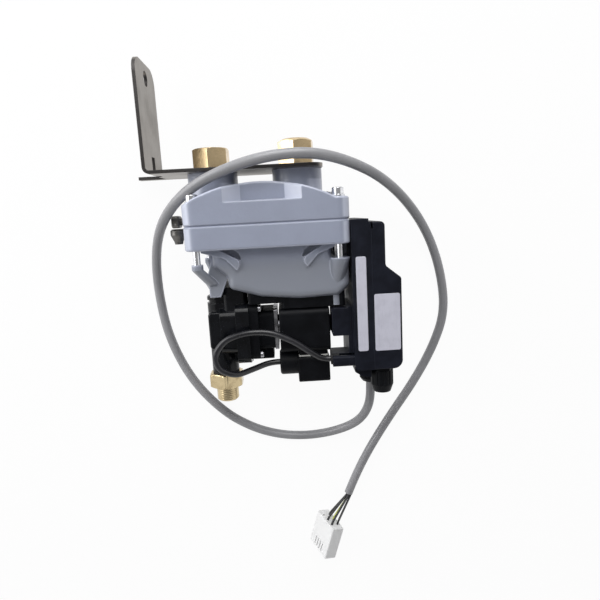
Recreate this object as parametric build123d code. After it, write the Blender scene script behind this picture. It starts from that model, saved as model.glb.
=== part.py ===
from build123d import *

import math
import os

# Electronic level-controlled condensate drain, lying on its back.
# Working datum: X from the middle of the cover, Y up (as installed) from the seam
# between cover and housing, Z out from the back faces that the drain lies on.
# place() moves every piece to the row frame at the end. All sizes in millimetres.

# ---- castings ---------------------------------------------------------------
BODY_W = 142.8          # width of the cover and of the housing flange
BODY_D = 93.0           # their depth, back to front
CORNER_R = 11.0         # plan radius of their corners
HALF_W = BODY_W / 2
MID_Z = BODY_D / 2
COVER_H = 19.0          # height of the cover's rim
CROWN_H = 16.3          # rise of the crown above the rim
CROWN_X = -4.6          # middle of the crown's arch
CROWN_R = 133.6         # its radius, seen from the front
CAST_EDGE_R = 2.0       # rolled edges of the castings
POCKET_LEFT = -35.0     # finger pocket in the front and the back of the crown
POCKET_RIGHT = 31.0
POCKET_DEPTH = 12.0
POCKET_FLARE = 14.0     # how far each side wall of the pocket slants in
COVER_ROOF = 9.0        # cover thickness over the reservoir
FLANGE_H = 21.0         # height of the housing's flange
SEAM_CHAMFER = 1.2      # broken edge that shows as the seam
BOWL_LEFT = -42.0       # reservoir bowl below the flange
BOWL_RIGHT = HALF_W - 0.8
BOWL_BOTTOM = -68.6
BOWL_INSET = 13.0       # bowl set back from the flange, front and back
BOWL_EDGE_R = 7.0
WAIST_DROP = 12.0       # open windows between the flange and the corner lugs
WALL = 6.5              # reservoir wall
LUG_R = 8.4             # corner lugs that take the bolts
LUG_H = 12.0
LUG_SEAT = 4.5          # depth that the bolts screw into the lugs
LEFT_LUG_R = 5.0
KNUCKLE_X = -52.0       # where the left lugs' gussets turn down to the outlet column
KNUCKLE_Y = -52.0
NECK_LEFT = -50.0       # narrower neck between the flange and the lugs
NECK_RIGHT = HALF_W - 16.4
RIB_PROUD = 3.0         # curved corner ribs stand this far off the bowl's faces
RIB_DEEP = 5.0          # and reach this far into them, as their grooves do
SIDE_RIB_W = 24.0
BOSS_X = HALF_W - 13.4  # boss under the bowl
BOSS_Z = MID_Z + 23.5
BOSS_R = 4.8
EYE_Y = 4.4             # eye on the cover's left side
EYE_H = 11.0
EYE_D = 16.0
EYE_LEFT = -HALF_W - 16.2
EYE_RIGHT = -HALF_W - 9.1
EYE_HOLE_R = 1.3
KNOB_Y = -9.0           # manual vent knob under it
KNOB_H = 14.0
KNOB_X = -HALF_W - 12.2
KNOB_R = 7.0
KNOB_TIP_R = 3.6
EAR_NECK_R = 3.2
EAR_SHANK_R = 2.5
EAR_SHANK_L = 6.0
HOUSING_SEAL_W = 2.8
HOUSING_SEAL_T = 2.2
SENSOR_X = 26.0
SENSOR_R = 8.0

# ---- threaded ports, G 1/2 ----------------------------------------------------
STUB_R = 22.5
LEFT_PORT_X = -HALF_W + STUB_R + 1.3
RIGHT_PORT_X = LEFT_PORT_X + 76.8
STUB_TOP = 46.0
THREAD_R = 10.48        # G 1/2 major radius
PORT_BORE_R = 7.5
THREAD_LENGTH = 14.0
FIT = 0.05              # radial clearance of a shaft in its hole
SEAL_W = 2.2            # radial width and thickness of the port seals
SEAL_T = 2.0
HEX_AF = 30.0           # across the flats of every brass fitting
PLUG_HEX_H = 18.5
ADAPTER_HEX_H = 23.5
PLUG_HEX_TURN = 27.0    # degrees that each hexagon came to rest at
ADAPTER_HEX_TURN = 22.0
OUTLET_HEX_TURN = 30.0
FEMALE_R = 9.32         # G 1/2 minor radius
FEMALE_DEPTH = 16.0

# ---- bracket, bent from sheet ---------------------------------------------------
SHEET = 3.0
BRACKET_LEFT = LEFT_PORT_X - 55.1
BRACKET_RIGHT = RIGHT_PORT_X + STUB_R
BRACKET_BACK = 5.5
BRACKET_FRONT = 77.5
LEG_BACK = BRACKET_BACK + 10.0
LEG_TOP = 143.0
LEG_CORNER_R = 14.0
BEND_R = 3.0
TAB_OUT = 20.6
MOUNT_HOLE_R = 6.5
MOUNT_HOLE_DROP = 13.0
RELIEF_W = 10.0
RELIEF_H = 14.0

# ---- fasteners --------------------------------------------------------------
BOLT_R = 3.0            # M6
BOLT_HEAD_R = 5.0
BOLT_HEAD_H = 6.0
BOLT_EDGE = 9.4         # bolt axis in from the casting's outer faces
WASHER_R = 6.0
WASHER_T = 1.6
SOCKET_AF = 5.0
HOLE_GAP = 0.3          # radial clearance of a bolt in its hole

# ---- main valve ---------------------------------------------------------------
VALVE_Y = -98.5         # axis of the main valve and its solenoid, along X
BARREL_X = -49.4        # outlet barrel, axis along Y
BARREL_R = 12.7
BARREL_BOTTOM = -138.6
COLUMN_R = 6.7
COLLAR_BOTTOM = -72.0   # groove under the barrel's collar
COLUMN_TOP = -45.0
COLUMN_BOTTOM = -65.0
BODY_BACK = MID_Z - 28.5  # back and front of the valve body
BODY_FRONT = MID_Z + 28.5
JOINT_X = BARREL_X + 27.4  # face where the diaphragm cover meets the body
VALVE_COVER_T = 8.4
VALVE_COVER_H = 52.0
VALVE_COVER_D = 53.0
PILOT_RIGHT = JOINT_X + 22.3
PILOT_H = 36.0
PILOT_D = 39.0
VALVE_SCREW_R = 2.0
VALVE_HEAD_R = 3.2
VALVE_HEAD_H = 3.2
VALVE_SCREW_Y = 21.5    # half pitches of the four screws
VALVE_SCREW_Z = 21.5
CHAMBER_R = 14.0
SEAT_R = 9.0
DIAPHRAGM_R = 18.0
DIAPHRAGM_T = 2.0
DISC_R = 8.5
DISC_T = 4.0
DISC_GAP = 0.3
STEM_R = 2.8
BACKING_T = 1.2
LIFT = 2.0              # travel of the closing disc
SPRING_WIRE_R = 0.4

# ---- solenoid -----------------------------------------------------------------
PLATE_T = 3.5
COLLAR_T = 1.5
PLATE_H = 39.0
PLATE_D = 33.0
COIL_LEFT = PILOT_RIGHT + PLATE_T + COLLAR_T
COIL_RIGHT = COIL_LEFT + 46.0
COIL_H = 41.0
COIL_BACK = MID_Z - 26.5
COIL_FRONT = MID_Z + 28.5
TUBE_R = 6.7
TUBE_BORE_R = 4.6
COLLAR_R = 11.0
PLUNGER_L = 24.5
PLUNGER_START = PILOT_RIGHT + 4.2
STROKE = 1.5
CORE_END = COIL_RIGHT + 5.7
POCKET_L = 9.0
CORE_GAP = 0.5
NUT_R = 8.0
NUT_L = 7.0
PLUG_LEFT = COIL_LEFT + 15.2
PLUG_RIGHT = PLUG_LEFT + 29.3
PLUG_TOP = -124.0
PLUG_BOTTOM = -148.7
PLUG_BACK = MID_Z - 3.5
PLUG_FRONT = PLUG_BACK + 29.0
GASKET_T = 1.2
PLUG_NUT_LEFT = PLUG_LEFT - 16.8
PLUG_NUT_R = 12.0
PLUG_NUT_Y = -131.5
LEAD_R = 2.75

# ---- electronics --------------------------------------------------------------
CASE_TOP = -0.9
CASE_BOTTOM = -135.0
CASE_BACK = 2.0
CASE_FRONT = BODY_D - 4.0
PARTING_X = HALF_W + 17.2  # where the hood meets the base
HOOD_RIGHT = PARTING_X + 25.5
HOOD_NECK = PARTING_X + 12.0
SHOULDER_TOP = -42.0
SHOULDER_BOTTOM = -53.0
HOOD_DROP = 2.9         # the hood's top below the base's top
CASE_R = 8.0
CASE_WALL = 2.6
SLIT_W = 1.6
SLIT_H = 6.0
POST_LEFT = HALF_W - 4.1
BLOCK_LEFT = COIL_RIGHT + 1.7  # block on the post, above its window
BLOCK_BOTTOM = -104.0
BLOCK_BACK = MID_Z + NUT_R + 2.5
BLOCK_FRONT = BODY_D - BOWL_INSET
ARM_LEFT = PLUG_RIGHT + 2.0
ARM_TOP = -121.8
ARM_BOTTOM = -131.3
ARM_BACK = MID_Z + 5.5
ARM_FRONT = ARM_BACK + 34.0
LEAD_ENTRY_Y = -125.0
LEAD_ENTRY_Z = ARM_FRONT - 7.4
GROMMET_WALL = 1.6
BOARD_X = PARTING_X + 3.4
BOARD_T = 1.6
SMALL_SCREW_R = 1.5
BUTTON_R = 4.5
BUTTON_Y = -92.0
BUTTON_PROUD = 1.6
BUTTON_TRAVEL = 1.0
BUTTON_FLANGE_R = 6.0
BUTTON_FLANGE_T = 1.5
LAMP_R = 1.7
LAMP_PITCH = 9.0
LAMP_Y = -76.0
FRONT_GLAND_X = PARTING_X + 9.4
FRONT_GLAND_Z = CASE_FRONT - 19.0
REAR_GLAND_X = PARTING_X + 3.4
REAR_GLAND_Z = FRONT_GLAND_Z - 31.0
GLAND_R = 10.5
GLAND_HEX_H = 5.0
GLAND_DOME_H = 21.0
GLAND_NECK_R = 8.0
GLAND_THREAD_H = 8.0
CHIN_H = 13.0           # stepped chin that the cord gland screws into
CHIN_BACK = REAR_GLAND_Z - 17.0
CHIN_FRONT = REAR_GLAND_Z + 17.0
STEP_RIGHT = PARTING_X - 1.6  # lower step of the chin, towards the front
REAR_HEX_H = 3.0
REAR_DOME_H = 10.0
FLUTES = 12

# ---- power cord, its wires and its plug -------------------------------------------
CORD_R = 4.5
WIRE_R = 1.15
CONNECTOR_W = 34.0
CONNECTOR_L = 35.0
CONNECTOR_H = 14.0
CONNECTOR_TURN = 17.5   # degrees that the plug lies away from the Y axis
CONNECTOR_ROLL = 64.5   # degrees that it leans over on its long edge
LATCH_SLOTS = 4
LATCH_PITCH = 4.4
LATCH_L = 9.0
CAVITY_PITCH = 8.4
CAVITY_ROW = 3.6
PIN_R = 1.25
PIN_START = 3.0
CORE_PITCH = 2.6        # spacing of the cores in the sheath
CORE_ROW = 1.5
SHROUD_WALL = 1.6
SHROUD_DEPTH = 12.0
CORES = ["black", "black", "black", "earth", "", "black"]  # core in each cavity
CONNECTOR_FACE = (47.0, -325.8)

BOLT_SPOTS = [
    (side * (HALF_W - BOLT_EDGE), depth)
    for side in (-1, 1)
    for depth in (BOLT_EDGE, BODY_D - BOLT_EDGE)
]
LUG_TOP = -FLANGE_H - WAIST_DROP
LUG_BOTTOM = LUG_TOP - LUG_H
BRACKET_TOP = STUB_TOP + SHEET
BUTTON_FACE = HOOD_RIGHT + BUTTON_PROUD
GLAND_END = CASE_BOTTOM - GLAND_HEX_H - GLAND_DOME_H
CHIN_BOTTOM = CASE_BOTTOM - CHIN_H
REAR_GLAND_END = CHIN_BOTTOM - REAR_HEX_H - REAR_DOME_H
OUTLET_HEX_TOP = BARREL_BOTTOM - SEAL_T
OUTLET_HEX_H = 14.0
OUTLET_THREAD = 14.0
OUTLET_END = OUTLET_HEX_TOP - OUTLET_HEX_H - OUTLET_THREAD
PLUG_MID_Z = (PLUG_BACK + PLUG_FRONT) / 2
CHAMBER_END = JOINT_X + VALVE_COVER_T + 2 * LIFT
SEAL_EDGE = BOLT_EDGE + WASHER_R - 0.8
SEAT_X = JOINT_X - DISC_T - 2 * DISC_GAP
OUTLET_SOCKET_TOP = OUTLET_HEX_TOP + THREAD_LENGTH + FIT
CORE_START = PLUNGER_START + PLUNGER_L + STROKE + CORE_GAP
SWITCH_TOP = HOOD_RIGHT - CASE_WALL - BUTTON_FLANGE_T - 5 * BUTTON_TRAVEL
CAVITIES = [(column, row) for column in (-1, 0, 1) for row in (-1, 1)]

# The row frame's origin: middle of the drain without its cord, on the floor.
ORIGIN = (
    (BRACKET_LEFT - TAB_OUT + BUTTON_FACE) / 2,
    (LEG_TOP + OUTLET_END) / 2,
    0.0,
)


# ---- drawing helpers ----------------------------------------------------------
def facing_up(x, y, z):
    """Plane whose normal is +Y, as installed."""
    return Plane(origin=(x, y, z), x_dir=(1, 0, 0), z_dir=(0, 1, 0))


def facing_right(x, y, z):
    """Plane whose normal is +X, with Y along its own first axis."""
    return Plane(origin=(x, y, z), x_dir=(0, 1, 0), z_dir=(1, 0, 0))


def upright(x, z, radius, low, high):
    """Cylinder along Y."""
    return extrude(facing_up(x, low, z) * Circle(radius), high - low)


def lengthways(y, z, radius, left, right):
    """Cylinder along X."""
    return extrude(facing_right(left, y, z) * Circle(radius), right - left)


def ring_up(x, z, outer, inner, low, high):
    """Plain ring along Y."""
    ring = facing_up(x, low, z) * (Circle(outer) - Circle(inner))
    return extrude(ring, high - low)


def ring_right(y, z, outer, inner, left, right):
    """Plain ring along X."""
    ring = facing_right(left, y, z) * (Circle(outer) - Circle(inner))
    return extrude(ring, right - left)


def block_y(x, y, z, radius):
    """Block between pairs of limits, its edges along Y rounded."""
    base = facing_up(sum(x) / 2, y[0], sum(z) / 2)
    return extrude(base * outline(x[1] - x[0], z[1] - z[0], radius), y[1] - y[0])


def block_x(x, y, z, radius):
    """Block between pairs of limits, its edges along X rounded."""
    base = facing_right(x[0], sum(y) / 2, sum(z) / 2)
    return extrude(base * outline(y[1] - y[0], z[1] - z[0], radius), x[1] - x[0])


def block_z(x, y, z, radius):
    """Block between pairs of limits, its edges along Z rounded."""
    base = Plane(origin=(sum(x) / 2, sum(y) / 2, z[0]))
    return extrude(base * outline(x[1] - x[0], y[1] - y[0], radius), z[1] - z[0])


def outline(width, height, radius):
    """Rectangle, rounded where a radius is given."""
    if radius > 0:
        return RectangleRounded(width, height, radius)
    return Rectangle(width, height)


def front_prism(points, radii, back, front):
    """Profile seen from the front, pulled out along Z."""
    edge = FilletPolyline(*points, radius=radii, close=True)
    return extrude(Plane.XY.offset(back) * make_face(edge.edges()), front - back)


def hexagon(x, z, flats, low, high, turn):
    """Hexagon bar along Y."""
    shape = RegularPolygon(flats / 2, 6, major_radius=False, rotation=turn)
    return extrude(facing_up(x, low, z) * shape, high - low)


def spring_along_x(y, z, radius, wire, left, right, turns):
    """Compression spring along X between two faces."""
    height = right - left - 2 * wire
    path = Helix(height / turns, height, radius, center=(left + wire, y, z), direction=(1, 0, 0))
    section = Plane(origin=path @ 0, z_dir=path % 0) * RegularPolygon(wire, 6)
    return sweep(section, path=path.edges()[0], is_frenet=True)


def place(shape):
    """Moves a shape from the working datum to the row frame."""
    return Pos(-ORIGIN[0], -ORIGIN[1], -ORIGIN[2]) * shape


# ---- castings -----------------------------------------------------------------
def cover():
    """Upper casting: rim, arched crown with two finger pockets, and two inlet stubs."""
    rim = block_y((-HALF_W, HALF_W), (0, COVER_H), (0, BODY_D), CORNER_R)
    rim = fillet(rim.edges().group_by(Axis.Y)[-1], CAST_EDGE_R)
    body = chamfer(rim.edges().group_by(Axis.Y)[0], SEAM_CHAMFER) + crown()
    for x in (LEFT_PORT_X, RIGHT_PORT_X):
        body += upright(x, MID_Z, STUB_R, COVER_ROOF, STUB_TOP)
    body -= reservoir_space(0, COVER_H - COVER_ROOF)
    for x in (LEFT_PORT_X, RIGHT_PORT_X):
        body -= upright(x, MID_Z, THREAD_R + SEAL_W, STUB_TOP - SEAL_T, STUB_TOP)
        thread_end = BRACKET_TOP - THREAD_LENGTH - FIT
        body -= upright(x, MID_Z, THREAD_R + FIT, thread_end, STUB_TOP)
        body -= upright(x, MID_Z, PORT_BORE_R, 0, STUB_TOP)
    for x, z in BOLT_SPOTS:
        body -= upright(x, z, WASHER_R + HOLE_GAP, COVER_H, COVER_H + CROWN_H)
        body -= upright(x, z, BOLT_R + HOLE_GAP, 0, COVER_H)
    return body - lengthways(EYE_Y, MID_Z, EAR_SHANK_R + FIT, -HALF_W, -HALF_W + EAR_SHANK_L)


def crown_reach(height):
    """Half width of the crown's arch at a height above the seam."""
    drop = CROWN_R - (COVER_H + CROWN_H - height)
    return math.sqrt(CROWN_R ** 2 - drop ** 2)


def crown():
    """Arched crown over the rim, its edges rolled, with a finger pocket front and back."""
    half = crown_reach(COVER_H)
    foot = COVER_H - CAST_EDGE_R - 1
    left, right = CROWN_X - half, CROWN_X + half
    skyline = [
        Line((left, foot), (left, COVER_H)),
        ThreePointArc((left, COVER_H), (CROWN_X, COVER_H + CROWN_H), (right, COVER_H)),
        Line((right, COVER_H), (right, foot)),
        Line((right, foot), (left, foot)),
    ]
    arch = extrude(Plane.XY * make_face(skyline), BODY_D)
    plan = block_y((-HALF_W, HALF_W), (0, COVER_H + CROWN_H), (0, BODY_D), CORNER_R)
    arch = arch & plan
    for front in (False, True):
        arch -= finger_pocket(front)
    return fillet(arch.edges().filter_by(on_skyline), CAST_EDGE_R)


def on_skyline(edge):
    """Whether an edge of the crown runs round its arched top, front or back."""
    middle = edge.center()
    above = crown_reach(max(middle.Y, COVER_H)) - abs(middle.X - CROWN_X)
    level = abs(edge.start_point().Y - edge.end_point().Y) < 0.6 * edge.length
    return middle.Y > COVER_H + 0.5 and abs(above) < 4.0 and level


def finger_pocket(front):
    """Pocket with slanted side walls, open to the top and to one face of the crown."""
    depth = POCKET_DEPTH if front else -POCKET_DEPTH
    face = BODY_D if front else 0.0
    top = COVER_H + CROWN_H
    corners = [
        (POCKET_LEFT, COVER_H, face),
        (POCKET_RIGHT, COVER_H, face),
        (POCKET_RIGHT - POCKET_FLARE, COVER_H, face - depth),
        (POCKET_LEFT + POCKET_FLARE, COVER_H, face - depth),
    ]
    plan = make_face(Polyline(*corners, close=True))
    return extrude(plan, top - COVER_H, dir=(0, 1, 0))


def reservoir_space(low, high):
    """Room inside the castings, between two heights."""
    left, right = BOWL_LEFT + WALL, BOWL_RIGHT - WALL - CORNER_R
    back, front = BOWL_INSET + WALL, BODY_D - BOWL_INSET - WALL
    return block_y((left, right), (low, high), (back, front), CORNER_R)


def bowl_profile():
    """Outline of the reservoir bowl seen from the front, and the radius at each corner."""
    corners = [
        ((NECK_LEFT, -FLANGE_H + 2), 0),
        ((NECK_LEFT, LUG_TOP - 3), 4),
        ((BOWL_LEFT + 4, LUG_BOTTOM), 6),
        ((BOWL_LEFT + 5, BOWL_BOTTOM + 12), 6),
        ((BOWL_LEFT + 33, BOWL_BOTTOM + 3.5), 20),
        ((BOWL_LEFT + 67, BOWL_BOTTOM), 30),
        ((BOWL_RIGHT - 10, BOWL_BOTTOM + 1), 8),
        ((BOWL_RIGHT, BOWL_BOTTOM + 10), 8),
        ((BOWL_RIGHT, LUG_TOP), 1),
        ((NECK_RIGHT, LUG_TOP), 3),
        ((NECK_RIGHT, -FLANGE_H + 2), 0),
    ]
    return [point for point, _ in corners], [radius for _, radius in corners]


def right_lug(z):
    """Lug round a right bolt, tapering down into the bowl."""
    x = HALF_W - BOLT_EDGE
    inward = math.copysign(1, MID_Z - z)
    foot = facing_up(x - 3, BOWL_BOTTOM + 8, z + inward * 13) * Circle(LUG_R - 2)
    return loft([facing_up(x, LUG_TOP, z) * Circle(LUG_R), foot])


def left_lug(z):
    """Lug round a left bolt, with a gusset that turns down to the outlet column."""
    x = -HALF_W + BOLT_EDGE
    inward = math.copysign(1, MID_Z - z)
    return loft(
        [
            facing_up(x, LUG_TOP, z) * Circle(LEFT_LUG_R),
            facing_up(x, LUG_TOP - LUG_SEAT, z) * Circle(LEFT_LUG_R),
            facing_up(KNUCKLE_X, KNUCKLE_Y, z + inward * 14) * Circle(LEFT_LUG_R + 1),
            facing_up(BARREL_X, COLUMN_BOTTOM, MID_Z - inward * 2) * Circle(COLUMN_R),
        ],
        ruled=True,
    )


def flank():
    """Casting wall between the left lugs, the outlet column and the bowl."""
    points = [
        (NECK_LEFT - 4, -FLANGE_H + 1),
        (NECK_LEFT - 2, LUG_TOP + 1),
        (KNUCKLE_X - 4, LUG_BOTTOM),
        (BARREL_X - COLUMN_R + 1, KNUCKLE_Y - 2),
        (BARREL_X - COLUMN_R + 1, COLUMN_BOTTOM + 1),
        (BARREL_X + 4, COLUMN_BOTTOM + 1),
        (BOWL_LEFT + 6, LUG_BOTTOM + 3),
        (BOWL_LEFT + 12, -FLANGE_H + 1),
    ]
    reach = MID_Z - BOWL_INSET - 8
    return front_prism(points, [0, 2, 3, 3, 0, 0, 4, 0], MID_Z - reach, MID_Z + reach)


def corner_rib(side, back, front):
    """Curved rib from a corner of the flange down to the bowl, as far as its groove."""
    neck = -NECK_LEFT if side < 0 else NECK_RIGHT
    outer = HALF_W - 13
    points = [
        (outer, -FLANGE_H + 1),
        (outer, -FLANGE_H - 2),
        (neck - 12, LUG_TOP + 4),
        (neck - 22, LUG_BOTTOM + 5),
        (neck - 26, LUG_TOP + 1),
        (neck - 15, -FLANGE_H - 4.5),
        (neck - 5, -FLANGE_H + 1),
    ]
    radii = [0, 1, 8, 1, 5, 5, 0]
    return front_prism([(side * x, y) for x, y in points], radii, back, front)


def rib_groove(side, back, front):
    """Dark groove between a corner rib and the bowl's face, under the flange."""
    neck = -NECK_LEFT if side < 0 else NECK_RIGHT
    points = [
        (neck - 8, -FLANGE_H),
        (neck - 16, -FLANGE_H - 4.8),
        (neck - 26.5, LUG_TOP + 1),
        (neck - 24, -FLANGE_H - 4),
        (neck - 19, -FLANGE_H),
    ]
    return front_prism([(side * x, y) for x, y in points], [0, 4, 1, 4, 0], back, front)


def housing():
    """Lower casting: flange, bowl with corner lugs, side rib and outlet column."""
    flange = block_y((-HALF_W, HALF_W), (-FLANGE_H, 0), (0, BODY_D), CORNER_R)
    flange = chamfer(flange.edges().group_by(Axis.Y)[-1], SEAM_CHAMFER)
    flange = fillet(flange.edges().group_by(Axis.Y)[0], CAST_EDGE_R)
    points, radii = bowl_profile()
    bowl = front_prism(points, radii, BOWL_INSET, BODY_D - BOWL_INSET)
    bowl = fillet(bowl_rim_edges(bowl), BOWL_EDGE_R)
    body = flange + bowl + flank()
    for z in (BOLT_EDGE, BODY_D - BOLT_EDGE):
        body += left_lug(z)
        body += right_lug(z)
    rib_spans = (
        (BOWL_INSET - RIB_PROUD, BOWL_INSET + RIB_DEEP),
        (BODY_D - BOWL_INSET - RIB_DEEP, BODY_D - BOWL_INSET + RIB_PROUD),
    )
    for span in rib_spans:
        for side in (-1, 1):
            body += corner_rib(side, *span)
            body -= rib_groove(side, *span)
    rib_z = (MID_Z - SIDE_RIB_W / 2, MID_Z + SIDE_RIB_W / 2)
    body += block_y((HALF_W - BOLT_EDGE, BOWL_RIGHT), (LUG_TOP - 1, -FLANGE_H + 1), rib_z, 0)
    body += upright(BARREL_X, MID_Z, COLUMN_R, COLUMN_BOTTOM, COLUMN_TOP)
    body += drain_boss()
    body -= reservoir_space(BOWL_BOTTOM + 2.6 * WALL, 0)
    body -= seal_groove()
    body -= upright(BARREL_X, MID_Z, COLUMN_R / 2, COLUMN_BOTTOM, COLUMN_TOP - 3)
    body -= upright(SENSOR_X, MID_Z, SENSOR_R + FIT, BOWL_BOTTOM + WALL, BOWL_BOTTOM + 3 * WALL)
    for x, z in BOLT_SPOTS:
        body -= upright(x, z, BOLT_R + HOLE_GAP, -FLANGE_H, 0)
        body -= upright(x, z, BOLT_R + FIT, LUG_TOP - LUG_SEAT, LUG_TOP)
    return body - lengthways(KNOB_Y, MID_Z, EAR_SHANK_R + FIT, -HALF_W, -HALF_W + EAR_SHANK_L)


def bowl_rim_edges(bowl):
    """Edges round the bowl's front and back faces, apart from those under the flange."""
    rims = bowl.edges().filter_by(lambda e: min(abs(e.center().Z - BOWL_INSET),
                                                abs(e.center().Z - BODY_D + BOWL_INSET)) < 0.01)
    return rims.filter_by(lambda e: e.center().Y < LUG_TOP - 0.5)


def drain_boss():
    """Round boss under the bowl's right corner."""
    return upright(BOSS_X, BOSS_Z, BOSS_R, BOWL_BOTTOM - 8, BOWL_BOTTOM + 9)


def seal_loop(inner, outer, low, high):
    """Rounded loop between two offsets from the castings' edge."""
    frame = facing_up(0, low, MID_Z)
    big = RectangleRounded(BODY_W - 2 * outer, BODY_D - 2 * outer, CORNER_R)
    small = RectangleRounded(BODY_W - 2 * inner, BODY_D - 2 * inner, CORNER_R - inner + outer)
    return extrude(frame * (big - small), high - low)


def seal_groove():
    """Groove in the housing's top face for the cover seal."""
    edge = SEAL_EDGE
    return seal_loop(edge + HOUSING_SEAL_W, edge, -HOUSING_SEAL_T, 0)


def housing_seal():
    """Square-section seal that fills its groove."""
    return seal_groove()


def level_sensor():
    """Capacitive level probe that stands in the reservoir."""
    bottom = BOWL_BOTTOM + WALL
    probe = upright(SENSOR_X, MID_Z, SENSOR_R, bottom, COVER_H - COVER_ROOF - 4)
    tip = probe.edges().group_by(Axis.Y)[-1]
    return fillet(tip, SENSOR_R / 2)


# ---- bracket -------------------------------------------------------------------
def bracket():
    """Mounting bracket: plate under the two fittings, leg with its hole, and back tab."""
    elbow = [
        (BRACKET_RIGHT, STUB_TOP),
        (BRACKET_LEFT, STUB_TOP),
        (BRACKET_LEFT, LEG_TOP),
        (BRACKET_LEFT + SHEET, LEG_TOP),
        (BRACKET_LEFT + SHEET, BRACKET_TOP),
        (BRACKET_RIGHT, BRACKET_TOP),
    ]
    radii = [0, BEND_R + SHEET, 0, 0, BEND_R, 0]
    sheet = front_prism(elbow, radii, BRACKET_BACK, BRACKET_FRONT)
    sheet -= block_x(
        (BRACKET_LEFT, BRACKET_LEFT + 2 * SHEET + BEND_R),
        (STUB_TOP, LEG_TOP),
        (BRACKET_BACK, LEG_BACK),
        0,
    )
    corners = sheet.edges().filter_by(Axis.X).filter_by(lambda e: e.center().Y > LEG_TOP - 1)
    sheet = fillet(corners, LEG_CORNER_R)
    ends = sheet.edges().filter_by(Axis.Y).filter_by(lambda e: e.center().X > BRACKET_RIGHT - 1)
    sheet = fillet(ends, LEG_CORNER_R)
    tab_end = BRACKET_LEFT - TAB_OUT
    tab_inner = BRACKET_LEFT + 3 * SHEET + BEND_R
    sheet += block_y((tab_end, tab_inner), (STUB_TOP, BRACKET_TOP), (BRACKET_BACK, LEG_BACK), 0)
    hole_y = LEG_TOP - MOUNT_HOLE_DROP
    sheet -= lengthways(hole_y, MID_Z, MOUNT_HOLE_R, BRACKET_LEFT, BRACKET_LEFT + SHEET)
    sheet -= block_x(
        (BRACKET_LEFT, BRACKET_LEFT + 2 * SHEET + BEND_R),
        (STUB_TOP, BRACKET_TOP + RELIEF_H),
        (MID_Z - RELIEF_W / 2, MID_Z + RELIEF_W / 2),
        0,
    )
    for x in (LEFT_PORT_X, RIGHT_PORT_X):
        sheet -= upright(x, MID_Z, THREAD_R + HOLE_GAP, STUB_TOP, BRACKET_TOP)
    return sheet


# ---- brass fittings ---------------------------------------------------------------
def hex_head(x, low, high, turn, top_chamfer):
    """Hexagon whose top and bottom corners are turned off by cones."""
    bar = hexagon(x, MID_Z, HEX_AF, low, high, turn)
    corner_r = HEX_AF / math.sqrt(3)
    skirt = 1.0
    rise = top_chamfer * 0.6
    lens = [
        (0, low),
        (corner_r - skirt, low),
        (corner_r + 0.1, low + skirt),
        (corner_r + 0.1, high - rise),
        (corner_r - top_chamfer, high),
        (0, high),
    ]
    profile = make_face(Polyline(*lens, close=True))
    cone = revolve(profile, axis=Axis.Y)
    return bar & (Pos(x, 0, MID_Z) * cone)


def inlet_plug():
    """Blanking plug of the left port."""
    top = BRACKET_TOP + PLUG_HEX_H
    head = hex_head(LEFT_PORT_X, BRACKET_TOP, top, PLUG_HEX_TURN, 2.0)
    shank = upright(LEFT_PORT_X, MID_Z, THREAD_R, BRACKET_TOP - THREAD_LENGTH, BRACKET_TOP)
    return head + shank


def inlet_adapter():
    """Adapter of the right port, with the female inlet thread."""
    top = BRACKET_TOP + ADAPTER_HEX_H
    body = hex_head(RIGHT_PORT_X, BRACKET_TOP, top, ADAPTER_HEX_TURN, 5.0)
    shank_end = BRACKET_TOP - THREAD_LENGTH
    body += upright(RIGHT_PORT_X, MID_Z, THREAD_R, shank_end, BRACKET_TOP)
    body -= upright(RIGHT_PORT_X, MID_Z, FEMALE_R, top - FEMALE_DEPTH, top)
    body -= upright(RIGHT_PORT_X, MID_Z, PORT_BORE_R, shank_end, top)
    return body


def port_seals():
    """Flat rings pressed into the stubs under the bracket."""
    return [
        ring_up(x, MID_Z, THREAD_R + SEAL_W, THREAD_R + FIT, STUB_TOP - SEAL_T, STUB_TOP)
        for x in (LEFT_PORT_X, RIGHT_PORT_X)
    ]


def outlet_adapter():
    """Outlet nipple: thread in the valve, hexagon, and the male thread that a hose takes."""
    low = OUTLET_HEX_TOP - OUTLET_HEX_H
    body = hex_head(BARREL_X, low, OUTLET_HEX_TOP, OUTLET_HEX_TURN, 1.5)
    body += upright(BARREL_X, MID_Z, THREAD_R, OUTLET_HEX_TOP, OUTLET_HEX_TOP + THREAD_LENGTH)
    body += upright(BARREL_X, MID_Z, THREAD_R, OUTLET_END, OUTLET_HEX_TOP - OUTLET_HEX_H)
    tip = body.edges().group_by(Axis.Y)[0]
    body = chamfer(tip, 1.2)
    body -= upright(BARREL_X, MID_Z, PORT_BORE_R, OUTLET_END, OUTLET_HEX_TOP + THREAD_LENGTH)
    return body


def outlet_seal():
    """Flat ring between the valve body and the outlet nipple."""
    return ring_up(BARREL_X, MID_Z, THREAD_R + SEAL_W, THREAD_R + FIT, OUTLET_HEX_TOP, BARREL_BOTTOM)


# ---- casting fasteners ----------------------------------------------------------------
def cap_screw(x, z, seat, tip):
    """Socket cap screw with its head above the seat."""
    top = seat + BOLT_HEAD_H
    head = upright(x, z, BOLT_HEAD_R, seat, top)
    head = chamfer(head.edges().group_by(Axis.Y)[-1], 0.6)
    head -= hexagon(x, z, SOCKET_AF, top - BOLT_HEAD_H / 2, top, 0)
    return head + upright(x, z, BOLT_R, tip, seat)


def cover_bolts():
    """Corner bolts from the cover down into the housing's lugs."""
    return [cap_screw(x, z, COVER_H + WASHER_T, LUG_TOP - LUG_SEAT) for x, z in BOLT_SPOTS]


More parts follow.
